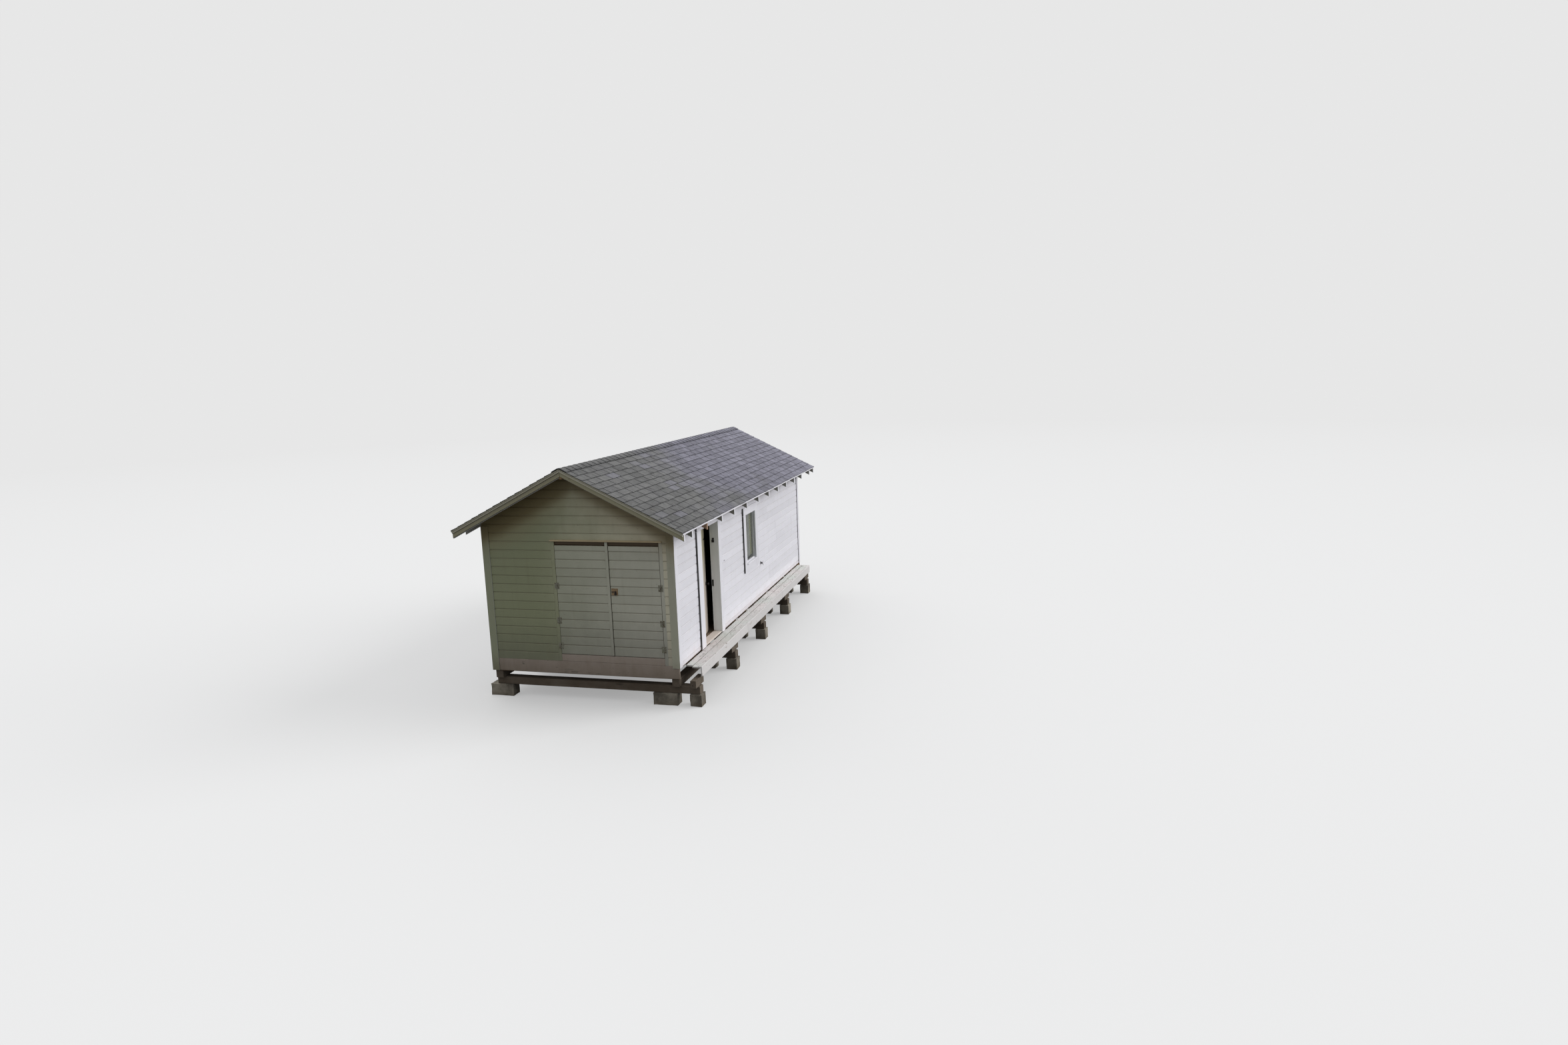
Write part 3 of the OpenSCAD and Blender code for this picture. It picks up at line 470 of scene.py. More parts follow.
# Casing faces towards -Y are nearly black: painted shade and mildew. The clean casing keeps them white.
casing_paint = painted_wood("casing_paint", WHITE_PAINT, front=srgb(72, 71, 70), foot=0.6, dirt=PINK_DIRT)
clean_unshaded_casing = painted_wood("clean_unshaded_casing", WHITE_PAINT, front=REVEAL_PAINT, foot=0.6, dirt=PINK_DIRT)
fascia_paint = painted_wood("fascia_paint", srgb(204, 201, 200), srgb(168, 158, 150), 0.66, grooves=0.4)
reveal_paint = painted_wood("reveal_paint", WHITE_PAINT, wear=0.20, front=REVEAL_PAINT)
# Rafter tails' sides towards -Y are grey: painted shade.
tail_paint = painted_wood("tail_paint", WHITE_PAINT, front=srgb(136, 136, 128))
rake_paint = painted_wood("rake_paint", srgb(146, 142, 118), srgb(118, 108, 90), 0.60, grooves=0.3)
strip_paint = painted_wood("strip_paint", srgb(176, 160, 128), GREY_WOOD, 0.35)
# Dark brown wood for the board set back over the land doors and the strips in the rake joints: its own
# colour deepened as painted shade.
shaded_recess_wood = painted_wood("shaded_recess_wood", srgb(84, 70, 52), AGED_WOOD, 0.4)
stained_tail = painted_wood("stained_tail", srgb(150, 124, 102), AGED_WOOD, 0.4)
sill_paint = painted_wood("sill_paint", srgb(152, 140, 130), GREY_WOOD, 0.5, foot=0.6)
threshold_wood = painted_wood("threshold_wood", srgb(200, 190, 182), wear=0.7)
door_paint = painted_wood(
    "door_paint", srgb(160, 154, 130), AGED_WOOD, 0.35, grooves=0.6, low_paint=srgb(184, 174, 164)
)
plank_paint = worn_plank_paint()
hinge_paint = painted_hinge()
hasp_finish = hasp_steel()
bare_lumber = wood("bare_lumber", srgb(170, 138, 98), AGED_WOOD)
floor_wood = wood("floor_wood", srgb(150, 128, 100), srgb(92, 74, 54), grey=0.5)
dark_timber = wood("dark_timber", srgb(92, 80, 66), srgb(66, 57, 47), 0.9)
rust = rusted_steel()
iron = blackened_iron()
granules = shingle_granules()
block_concrete = concrete()
cloth = curtain_cloth()
pane_glass = old_glass()


# Meshes

def placed(name, data):
    """A new object in the scene."""
    made = bpy.data.objects.new(name, data)
    bpy.context.scene.collection.objects.link(made)
    return made


def rounded(a0, a1, b0, b1, cut):
    """A rectangle's outline with its four corners cut off."""
    return [
        (a0 + cut, b0), (a1 - cut, b0), (a1, b0 + cut), (a1, b1 - cut),
        (a1 - cut, b1), (a0 + cut, b1), (a0, b1 - cut), (a0, b0 + cut),
    ]


def stops(start, end, step, tip=0.0):
    """Places along a board: its ends, a point just inside each, and even steps between."""
    count = max(1, round((end - start) / step))
    inner = [start + (end - start) * i / count for i in range(1, count)]
    if tip:
        return [start, start + tip, *inner, end - tip, end]
    return [start, *inner, end]


def sway(t, seed, size):
    """A slow waver along a board."""
    return size * noise.noise(Vector((t * 1.3, seed, 0.0)))


def corners(points):
    """The low and the high corner of the box round some points."""
    sides = list(zip(*points))
    return Vector([min(side) for side in sides]), Vector([max(side) for side in sides])


def once(items):
    """Items without their repeats, in an order that is the same each run, as a set's isn't."""
    return list(dict.fromkeys(items))


def longest(low, high):
    size = high - low
    return max(range(3), key=lambda i: size[i])


class Piece:
    """Gathers closed parts into one object. Each point keeps its grain coordinates, the tone of
    its board, and how dark its edge is drawn: dirt, cut edges, and painted shade in recesses."""

    def __init__(self, name):
        self.name = name
        self.bm = bmesh.new()
        self.grain = self.bm.verts.layers.float_vector.new("grain")
        self.tone = self.bm.verts.layers.float.new("tone")
        self.edge = self.bm.verts.layers.float.new("edge")
        self.rng = random.Random(name)
        self.matrix = Matrix.Identity(4)

    def point(self, place, grain, tone, edge=0.0):
        v = self.bm.verts.new(self.matrix @ Vector(place))
        v[self.grain] = grain
        v[self.tone] = tone
        v[self.edge] = edge
        return v

    def skin(self, rings, material=0):
        """Closes a stack of rings into a solid: its two ends, then its sides."""
        made = [self.bm.faces.new(rings[0]), self.bm.faces.new(rings[-1])]
        for one, two in zip(rings, rings[1:]):
            for i in range(len(one)):
                j = (i + 1) % len(one)
                made.append(self.bm.faces.new((one[i], one[j], two[j], two[i])))
        for face in made:
            face.material_index = material
        return made

    def loft(self, sections, place, tone=None, material=0, cuts=(), edges=None, back=0):
        """A closed bar through sections, each (t, outline), with place(a, b, t) in metres. back
        is the material of the outline's last side but one."""
        tone = self.rng.random() if tone is None else tone
        shift = self.rng.uniform(0, 40)
        sides = len(sections[0][1])
        edges = edges or [0.0] * sides
        rings = []
        for t, outline in sections:
            ring = []
            for (a, b), edge in zip(outline, edges):
                ring.append(self.point(place(a, b, t), (t + shift, a + shift, b), tone, edge))
            rings.append(ring)
        made = self.skin(rings, material)
        if back:
            for face in made[sides::sides]:
                face.material_index = back
        for point, normal in cuts:
            made = self.cut(made, point, normal)

    def cut(self, faces, point, normal):
        """Takes off what lies beyond a plane, and returns the faces that are left."""
        verts = once(v for f in faces for v in f.verts)
        lines = once(e for f in faces for e in f.edges)
        heights = [(v.co - point).dot(normal) for v in verts]
        if not faces or max(heights) <= 1e-6:
            return faces
        if min(heights) >= -1e-6:
            bmesh.ops.delete(self.bm, geom=verts, context="VERTS")
            return []
        made = bmesh.ops.bisect_plane(
            self.bm, geom=verts + lines + faces, plane_co=point, plane_no=normal, clear_outer=True
        )
        rim = [g for g in made["geom_cut"] if isinstance(g, bmesh.types.BMEdge)]
        kept = [g for g in made["geom"] if isinstance(g, bmesh.types.BMFace) and g.is_valid]
        return kept + bmesh.ops.holes_fill(self.bm, edges=rim)["faces"]

    def board(self, corner_a, corner_b, axis, cut=0.002, step=0.45, waver=0.0005, material=0):
        """A sawn board between two opposite corners, its grain along axis 0, 1 or 2."""
        low = [min(pair) for pair in zip(corner_a, corner_b)]
        high = [max(pair) for pair in zip(corner_a, corner_b)]
        one, two = [i for i in range(3) if i != axis]
        seed = self.rng.uniform(0, 90)
        cut = min(cut, (high[one] - low[one]) / 4, (high[two] - low[two]) / 4)

        def place(a, b, t):
            spot = [a, b]
            spot.insert(axis, t)
            return spot

        sections = []
        for t in stops(low[axis], high[axis], step, cut):
            inset = cut if t in (low[axis], high[axis]) else 0.0
            da = sway(t, seed, waver)
            db = sway(t, seed + 7, waver)
            outline = rounded(
                low[one] + inset + da, high[one] - inset + da,
                low[two] + inset + db, high[two] - inset + db, cut,
            )
            sections.append((t, outline))
        self.loft(sections, place, material=material)

    def eased(self, points, outlines, grain_of, cut=0.002):
        """A sawn solid of any shape, its sharp edges eased."""
        tone = self.rng.random()
        shift = self.rng.uniform(0, 40)
        verts = []
        for p in points:
            along, across, up = grain_of(p)
            verts.append(self.point(p, (along + shift, across + shift, up), tone))
        faces = [self.bm.faces.new([verts[i] for i in outline]) for outline in outlines]
        lines = once(e for f in faces for e in f.edges)
        sharp = [e for e in lines if len(e.link_faces) == 2 and e.calc_face_angle(0) > 0.3]
        bmesh.ops.bevel(self.bm, geom=sharp, offset=cut, segments=1, affect="EDGES", clamp_overlap=True)

    def dome(self, centre, normal, radius, height, material=0, tone=0.5, sides=8):
        """A small nail or screw head."""
        turn = Vector(normal).to_track_quat("Z", "Y").to_matrix()
        rings = []
        for share, rise in ((1.0, -0.4), (1.0, 0.35), (0.55, 1.0)):
            ring = []
            for i in range(sides):
                angle = math.tau * i / sides
                r = radius * share
                spot = Vector((math.cos(angle) * r, math.sin(angle) * r, height * rise))
                ring.append(self.point(Vector(centre) + turn @ spot, centre, tone))
            rings.append(ring)
        self.skin(rings, material)

    def done(self, slot, materials, *replaced, body="building", smooth=32):
        """Turns the gathered parts into a piece that rides on a body in place of CAD nodes."""
        bmesh.ops.recalc_face_normals(self.bm, faces=self.bm.faces[:])
        mesh = bpy.data.meshes.new(self.name)
        self.bm.to_mesh(mesh)
        self.bm.free()
        mesh.polygons.foreach_set("use_smooth", [True] * len(mesh.polygons))
        mesh.set_sharp_from_angle(angle=math.radians(smooth))
        for material in materials:
            mesh.materials.append(material)
        made = placed(self.name, mesh)
        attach(made, body)
        if replaced:
            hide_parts(*replaced)
        return made


def solids(node):
    """The separate solids of a CAD node, each as its points and its flat faces."""
    bm = bmesh.new()
    bm.from_mesh(frame["nodes"][node].data)
    bmesh.ops.remove_doubles(bm, verts=bm.verts[:], dist=1e-5)
    bmesh.ops.dissolve_limit(bm, angle_limit=0.01, verts=bm.verts[:], edges=bm.edges[:])
    seen = set()
    found = []
    for first in bm.verts:
        if first in seen:
            continue
        group = [first]
        seen.add(first)
        for v in group:
            for e in v.link_edges:
                other = e.other_vert(v)
                if other not in seen:
                    seen.add(other)
                    group.append(other)
        index = {v: i for i, v in enumerate(group)}
        faces = {f for v in group for f in v.link_faces}
        outlines = sorted([index[v] for v in f.verts] for f in faces)
        found.append(([v.co.copy() for v in group], outlines))
    bm.free()
    return sorted(found, key=lambda s: tuple(round(c, 4) for c in s[0][0]))


def boxes(node):
    return [corners(points) for points, _ in solids(node)]


def joint_named(name):
    return next(joint for joint in frame["joints"] if joint["name"] == name)


def lumber(name, node, slot="bare_lumber", material=bare_lumber, cut=0.002, waver=0.0006, step=0.45):
    """Sawn lumber in place of a CAD node: boxes become boards, other shapes get eased edges."""
    piece = Piece(name)
    for points, outlines in solids(node):
        low, high = corners(points)
        along = longest(low, high)
        one, two = [i for i in range(3) if i != along]
        if len(points) == 8 and len(outlines) == 6:
            piece.board(low, high, along, cut, step, waver)
        else:
            piece.eased(points, outlines, lambda p: (p[along], p[one], p[two]), cut)
    piece.done(slot, [material], node)


def ease_edges(material, width, *nodes):
    """CAD nodes that keep their shape: a material, and edges that catch the light."""
    for node in nodes:
        made = frame["nodes"][node]
        made.data.materials.clear()
        made.data.materials.append(material)
        made.modifiers.new("weld", "WELD").merge_threshold = 1e-5
        bevel = made.modifiers.new("eased_edges", "BEVEL")
        bevel.width = width
        bevel.segments = 2
        bevel.limit_method = "ANGLE"
        bevel.angle_limit = math.radians(30)
        bevel.harden_normals = False


# Foundation, floor and walkway

def worn_block_point(share, low, high, shift):
    """Where a point of a unit cube goes on a rough block with chipped edges and corners."""
    size = high - low
    spot = Vector([low[i] + (share[i] + 0.5) * size[i] for i in range(3)])
    from_edge = sorted(0.5 - abs(c) for c in share)[1]
    wear = 0.0025 + 0.0025 * noise.noise((spot + shift) * 16)
    if from_edge < 0.02:
        wear += 0.010 * max(0.0, noise.noise((spot + shift) * 9) - 0.05)
    if from_edge < 0.01:
        wear += 0.004
    inward = Vector([-c if abs(c) > 0.499 else 0.0 for c in share])
    spot += inward.normalized() * wear
    spot.z = max(spot.z, low.z)
    return spot


def pier_blocks():
    """Rough concrete blocks with chipped corners."""
    piece = Piece("rough_blocks")
    for low, high in boxes("pier_blocks"):
        cube = bmesh.ops.create_cube(piece.bm, size=1.0)["verts"]
        lines = once(e for v in cube for e in v.link_edges)
        bmesh.ops.subdivide_edges(piece.bm, edges=lines, cuts=7, use_grid_fill=True)
        fresh = [v for v in piece.bm.verts if v[piece.tone] == 0.0]
        tone = 0.2 + 0.8 * piece.rng.random()
        shift = Vector((piece.rng.uniform(0, 50), 0, 0))
        for v in fresh:
            v.co = worn_block_point(v.co.copy(), low, high, shift)
            v[piece.grain] = v.co + shift
            v[piece.tone] = tone
    piece.done("concrete", [block_concrete], "pier_blocks", smooth=50)


def floor_boards():
    """Floor boards laid along the building, each in two lengths, with open joints."""
    piece = Piece("floor_boards")
    low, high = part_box("floor_deck")
    count = 21
    gap = 0.003
    width = (high.x - low.x) / count
    for i in range(count):
        x0 = low.x + i * width
        x1 = x0 + width - gap
        joint = piece.rng.uniform(0.3, 0.7)
        y_mid = low.y + joint * (high.y - low.y)
        for y0, y1 in ((low.y, y_mid), (y_mid + 0.002, high.y)):
            drop = piece.rng.uniform(0, 0.0015)
            piece.board((x0, y0, low.z), (x1, y1, high.z - drop), 1, 0.0015, 0.8)
    piece.done("bare_lumber", [floor_wood], "floor_deck")


def plank_outline(y, at_end, low, high, seed, cup):
    """A plank's section: splintered sides, eased upper edges and a cupped face."""
    dz = sway(y * 2, seed, 0.0035) - (0.003 if at_end else 0.0)
    splinters = [max(0.0, 0.002 + 0.009 * noise.noise(Vector((y * 5, seed, n)))) for n in (1, 2)]
    x0 = low.x + splinters[0]
    x1 = high.x - splinters[1]
    top = high.z - 0.001 + min(0.0, dz)
    return [
        (x0 + 0.002, low.z), (x1 - 0.002, low.z), (x1, top - 0.006), (x1 - 0.005, top),
        ((x0 + x1) / 2, top - cup), (x0 + 0.005, top), (x0, top - 0.006),
    ]


def walkway_planks():
    """Two worn planks in two lengths each, nailed down on the joists."""
    piece = Piece("worn_planks")
    rng = piece.rng
    nail_rows = [sum(points, Vector()).y / len(points) for points, _ in solids("floor_joists")]
    for low, high in boxes("walkway_planks"):
        seed = rng.uniform(0, 90)
        y_mid = low.y + (high.y - low.y) * rng.uniform(0.45, 0.6)
        for y0, y1 in ((low.y, y_mid - 0.004), (y_mid, high.y)):
            cup = rng.uniform(0.0008, 0.002)
            sections = []
            for y in stops(y0, y1, 0.12, 0.004):
                sections.append((y, plank_outline(y, y in (y0, y1), low, high, seed, cup)))
            piece.loft(sections, lambda a, b, t: (a, t, b), edges=[0.6, 0.6, 0.5, 0.1, 0, 0.1, 0.5])
        for y in nail_rows:
            if not low.y + 0.02 < y < high.y - 0.02:
                continue
            for x in (low.x + 0.022, high.x - 0.022):
                nail_x = x + rng.uniform(-0.004, 0.004)
                nail_y = y + rng.uniform(-0.008, 0.008)
                piece.dome((nail_x, nail_y, high.z - 0.0025), (0, 0, 1), 0.0042, 0.0012, 1)
    piece.done("worn_planks", [plank_paint, rust], "walkway_planks")


def walkway_edge_board():
    """The upright edge board of the walkway, in three lengths."""
    piece = Piece("walkway_edge_board")
    low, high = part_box("walkway_fascia")
    third = (high.y - low.y) / 3
    for i in range(3):
        y0 = low.y + i * third
        drop = piece.rng.uniform(0, 0.002)
        top_corner = (high.x, y0 + third - 0.003, high.z - drop)
        piece.board((low.x, y0, low.z), top_corner, 1, 0.003, 0.3, 0.002)
    piece.done("worn_planks", [fascia_paint], "walkway_fascia")


# Siding

def siding_outline(z0, z1, cove):
    """One board of drop siding, as (depth, height), and how dark each point is drawn: dirt and
    painted shade, darkest deep in the cove and at the lower edge. A flat face, and a cove under
    the next board unless the board is the last below a sill or a roof."""
    back = [(SIDING_T, z1), (SIDING_T, z0)]
    foot = [(0.0015, z0), (0.0, z0 + 0.0015)]
    if not cove:
        return [*foot, (0, z1 - 0.001), (0.001, z1), *back], [0.5, 0, 0, 0.3, 0.3, 0.3]
    lip = z1 - COVE_H
    hollow = [(depth, lip + up) for depth, up in COVE]
    outline = [*foot, (0.0, z0 + 0.008), (0.0, lip - 0.006), (0.0, lip), *hollow, (COVE[-1][0], z1), *back]
    return outline, [0.6, 0.2, 0, 0, 0.1, 0.15, 0.2, 0.3, 0.5, 0.9, 1, 0.3, 0.3]


def siding_board(piece, place, z0, z1, t0, t1, cove, cuts):
    """One length of siding, a little wavy, painted outside and bare inside."""
    outline, edges = siding_outline(z0, z1, cove and z1 - z0 > 0.045)
    seed = piece.rng.uniform(0, 90)
    sections = []
    for t in stops(t0, t1, 0.35):
        da = max(0.0, sway(t, seed, 0.0010))
        db = sway(t, seed + 5, 0.0010)
        moved = []
        for a, b in outline:
            moved.append((a + da if a < SIDING_T else a, b + (db if a < 0.002 else 0.0)))
        sections.append((t, moved))
    piece.loft(sections, place, cuts=cuts, edges=edges, back=1)


def stretches(holes, start, end, z0, z1):
    """Where a course has boards: beside, under and over each hole (t0, t1, z0, z1)."""
    found = []
    t = start
    for left, right, low, high in holes:
        if z1 <= low + 0.004 or z0 >= high - 0.004:
            continue
        found.append((t, left, z0, z1))
        if z0 < low - 0.004:
            found.append((left, right, z0, low))
        if z1 > high + 0.004:
            found.append((left, right, high, z1))
        t = right
    return [*found, (t, end, z0, z1)]


def siding_courses(piece, place, ends, levels, course_z, holes=(), joints=(), cuts=()):
    """Courses of siding between two levels, with a joint over some of the studs."""
    z0, top = levels
    z1 = course_z + math.ceil((z0 - course_z) / COURSE_H - 1e-6) * COURSE_H
    if z1 - z0 < 0.03:
        z1 += COURSE_H
    while z0 < top - 0.004:
        capped = z1 >= top - 0.012
        z_top = top if capped else z1
        for t0, t1, low, high in stretches(holes, *ends, z0, z_top):
            cut_at = [j for j in joints if t0 + 0.5 < j < t1 - 0.5 and piece.rng.random() < 0.3][:2]
            cove = high == z_top and not capped
            for e0, e1 in zip([t0, *cut_at], [*(j - 0.0012 for j in cut_at), t1]):
                siding_board(piece, place, low, high, e0, e1, cove, cuts)
        z0 = top if capped else z1
        z1 += COURSE_H


def nail_heads(piece, place, outward, studs, levels, keep):
    """Painted nail heads, two to a course at each stud."""
    for z in levels:
        for t in studs:
            for dz in (0.018, 0.088):
                spot = t + piece.rng.uniform(-0.006, 0.006)
                if keep(spot, z + dz):
                    piece.dome(place(0.0, z + dz, spot), outward, 0.0030, 0.0004, sides=6)


def anywhere(t, z):
    return True


def across_front(a, b, t):
    """A point by its depth in the front wall, its height and its place across."""
    return (t, Y_FRONT + a, b)


def across_back(a, b, t):
    return (t, Y_BACK - a, b)


def along_right(a, b, t):
    return (HALF_W - a, t, b)


def along_left(a, b, t):
    return (a - HALF_W, t, b)


def course_levels(start, bottom, top):
    """The lower edges of the courses between two levels."""
    first = math.ceil((bottom - start) / COURSE_H)
    count = math.ceil((top - 0.09 - start) / COURSE_H)
    return [start + k * COURSE_H for k in range(first, count)]


def evenly(start, end):
    count = round((end - start) / STUD_PITCH)
    return [start + (end - start) * i / count for i in range(count + 1)]


def below_roof(x, z):
    return z < GABLE_TOP_Z - 0.03 - PITCH * abs(x)


def long_wall(name, node, place, outward, holes=(), keep=anywhere):
    """The siding of a side wall."""
    piece = Piece(name)
    low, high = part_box(node)
    levels = (low.z, high.z)
    studs = evenly(low.y, high.y)[1:-1]
    siding_courses(piece, place, (low.y, high.y), levels, SIDE_COURSE_Z, holes, studs)
    nail_rows = evenly(low.y + 0.1, high.y - 0.1)
    nail_heads(piece, place, outward, nail_rows, course_levels(SIDE_COURSE_Z, *levels), keep)
    piece.done("white_paint", [wall_paint, bare_lumber], node)


def gable_wall(
    name, node, place, outward, course_z, nail_rows, paint, holes=(), joints=(), keep=below_roof,
):
    """The siding of an end wall, cut off under the roof boards."""
    piece = Piece(name)
    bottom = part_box(node)[0].z
    ridge = Vector((0, 0, GABLE_TOP_Z - 0.001))
    cuts = [(ridge, Vector((lean, 0, 1)).normalized()) for lean in (PITCH, -PITCH)]
    levels = (bottom, GABLE_TOP_Z - 0.005)
    siding_courses(piece, place, (-HALF_W, HALF_W), levels, course_z, holes, joints, cuts)
    nail_heads(piece, place, outward, nail_rows, course_levels(course_z, bottom, GABLE_TOP_Z), keep)
    piece.done("shade_paint", [paint, bare_lumber], node)


def right_wall():
    """The walkway wall, with its door and its window."""
    door = (DOORWAY_LOW.y, DOORWAY_HIGH.y, 0.0, DOORWAY_HIGH.z)
    window = (SASH_LOW.y - 0.001, SASH_HIGH.y + 0.001, SASH_LOW.z - 0.030, SASH_HIGH.z + 0.001)

    def off_casings(y, z):
        beside_door = y < door[0] - 0.16 or y > door[1] + 0.13
        beside_window = y < window[0] - 0.12 or y > window[1] + 0.12
        return beside_door and (beside_window or z < window[2] - 0.14 or z > window[3] + 0.12)

    long_wall("right_wall_siding", "right_siding", along_right, (1, 0, 0), [door, window], off_casings)


def front_wall():
    """The land wall, with the doorway of the two leaves."""
    doorway = (TRIM_LOW.x, TRIM_HIGH.x, 0.0, DOOR_HEAD_Z + 0.001)
    nail_rows = [-1.40, -0.90, -0.44, -0.10, 0.45, 0.95, 1.38]

    def off_doors(x, z):
        beside = x < TRIM_LOW.x - 0.01 or x > TRIM_HIGH.x + 0.01
        return (beside or z > DOOR_HEAD_Z + 0.03) and below_roof(x, z) and abs(x) < HALF_W - 0.11

    gable_wall(
        "front_wall_siding", "front_siding", across_front, (0, -1, 0), FRONT_COURSE_Z, nail_rows,
        gable_paint, [doorway], keep=off_doors,
    )


def back_wall():
    nail_rows = evenly(-HALF_W + 0.1, HALF_W - 0.1)
    gable_wall(
        "back_wall_siding", "back_siding", across_back, (0, 1, 0), SIDE_COURSE_Z, nail_rows,
        wall_paint, joints=evenly(-HALF_W, HALF_W)[1:-1],
    )


def corner_boards():
    """Each corner is closed by two boards, one lapping the other."""
    piece = Piece("corner_trim")
    proud = 0.012
    thick = proud + 0.0002
    for low, high in boxes("corner_boards"):
        side = 1 if low.x > 0 else -1
        end = 1 if low.y > 0 else -1
        outer_x = high.x if side > 0 else low.x
        outer_y = high.y if end > 0 else low.y
        inner_x = outer_x - side * (high.x - low.x)
        inner_y = outer_y - end * (high.y - low.y)
        lap_y = outer_y - end * (proud + 0.0006)
        for material, corner_a, corner_b in (
            (0, (inner_x, outer_y, low.z), (outer_x, outer_y - end * thick, high.z)),
            (1, (outer_x, inner_y, low.z), (outer_x - side * thick, lap_y, high.z)),
        ):
            piece.board(corner_a, corner_b, 2, 0.0015, 0.5, 0.0004, material)
    piece.done("white_paint", [corner_paint, casing_paint], "corner_boards")


# Land doors

def leaf_frame(piece, low, high, brace_up):
    """Two stiles, three rails and two braces on the back of a leaf."""
    rail = 0.089
    half = 0.05
    y0 = Y_FRONT + SIDING_T
    y1 = high.y
    mid = (low.z + high.z) / 2
    for x0 in (low.x, high.x - rail):
        piece.board((x0, y0, low.z), (x0 + rail, y1, high.z), 2, material=1)
    for z0 in (low.z, mid - rail / 2, high.z - rail):
        piece.board((low.x + rail, y0, z0), (high.x - rail, y1, z0 + rail), 0, material=1)
    x_ends = [low.x + rail + half, high.x - rail - half]
    if not brace_up:
        x_ends.reverse()
    for z_ends in ((low.z + rail, mid - rail / 2), (mid + rail / 2, high.z - rail)):
        sections = [(z, rounded(x - half, x + half, y0, y1, 0.002)) for z, x in zip(z_ends, x_ends)]
        piece.loft(sections, lambda a, b, t: (a, b, t), material=1)


def land_leaf(name, node, body, left):
    """Siding on a braced frame. The left leaf also has the upright strip beside the meeting line."""
    piece = Piece(name)
    low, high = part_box(node)
    leaf_top = Vector((high.x, high.y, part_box("front_door_right")[1].z))
    siding_courses(piece, across_front, (low.x, high.x), (low.z, leaf_top.z), FRONT_COURSE_Z)
    if left:
        strip_low = (high.x - 0.042, low.y, low.z + 0.001)
        piece.board(strip_low, (high.x, Y_FRONT, high.z), 2, 0.0015, 0.4, 0.0004)
    leaf_frame(piece, low, leaf_top, left)
    levels = course_levels(FRONT_COURSE_Z, low.z, leaf_top.z)
    for x in (low.x + 0.045, (low.x + high.x) / 2, high.x - 0.055):
        nail_heads(piece, across_front, (0, -1, 0), [x], levels, anywhere)
    piece.done("shade_paint", [leaf_paint, bare_lumber], node, body=body)


def doorway_trim():
    """Upright boards painted as the wall, a worn drip strip, and a dark board set back over the leaves,
    its brown deepened as painted shade under the strip.
    """
    piece = Piece("doorway_trim")
    upright = 0.054
    recess = 0.055
    face = Y_FRONT + SIDING_T
    x0 = TRIM_LOW.x
    x1 = TRIM_HIGH.x
    head = DOOR_HEAD_Z
    for material, axis, cut, corner_a, corner_b in (
        (0, 2, 0.002, (x0, Y_FRONT, TRIM_LOW.z), (x0 + upright, face, head)),
        (3, 2, 0.002, (x1 - upright, Y_FRONT, TRIM_LOW.z), (x1, face, head)),
        (1, 0, 0.003, (x0, TRIM_LOW.y, head), (x1, Y_FRONT, TRIM_HIGH.z)),
        (2, 0, 0.002, (x0 + upright, face, head - recess), (x1 - upright, TRIM_HIGH.y, head)),
    ):
        piece.board(corner_a, corner_b, axis, cut, 0.3, 0.0008, material)
    piece.done("shade_paint", [gable_paint, strip_paint, shaded_recess_wood, leaf_paint], "front_door_trim")


def sills():
    """Skirt board and threshold of the land doors, and the worn sill of the side door."""
    piece = Piece("sill_boards")
    nose = 0.010
    jamb = (DOORWAY_HIGH.y - DOORWAY_LOW.y - 0.81) / 2
    for points, _ in solids("door_sills"):
        low, high = corners(points)
        if len(points) == 8:
            piece.board(low, high, 0, 0.004, 0.25, 0.002)
            continue
        nose_low = (high.x - nose - 0.001, low.y + jamb, low.z)
        nose_high = (high.x, high.y - jamb, high.z - 0.001)
        piece.board(low, (high.x - nose, high.y, high.z), 1, 0.003, 0.2, 0.001, 1)
        piece.board(nose_low, nose_high, 1, 0.003, 0.2, 0.001, 1)
    piece.done("worn_planks", [sill_paint, threshold_wood], "door_sills")


# Side openings

def casing_boards(piece, low, high, face_x, y0, y1, head):
    """Two uprights and a head board round an opening. The near upright and the head have faces towards -Y
    drawn nearly black, as painted shade and mildew; the far upright's stay white.
    """
    for material, axis, corner_a, corner_b in (
        (0, 2, (HALF_W, low.y, low.z), (face_x, y0, head - 0.001)),
        (1, 2, (HALF_W, y1, low.z), (face_x, high.y, head - 0.001)),
        (0, 1, (HALF_W, low.y, head), (face_x, high.y, high.z)),
    ):
        piece.board(corner_a, corner_b, axis, 0.0025, 0.3, 0.0012, material)


def window_sill(piece, x0, x1, y0, y1, top):
    """A sloping sill with an eased front edge."""
    slope = 0.006
    bottom = top - 0.030
    outline = [
        (x0, bottom), (x1 - 0.002, bottom), (x1, bottom + 0.002), (x1, top - 0.004 - slope),
        (x1 - 0.004, top - slope), (x0, top),
    ]
    sections = [(y, outline) for y in stops(y0, y1, 0.2)]
    piece.loft(sections, lambda a, b, t: (a, t, b), material=1)


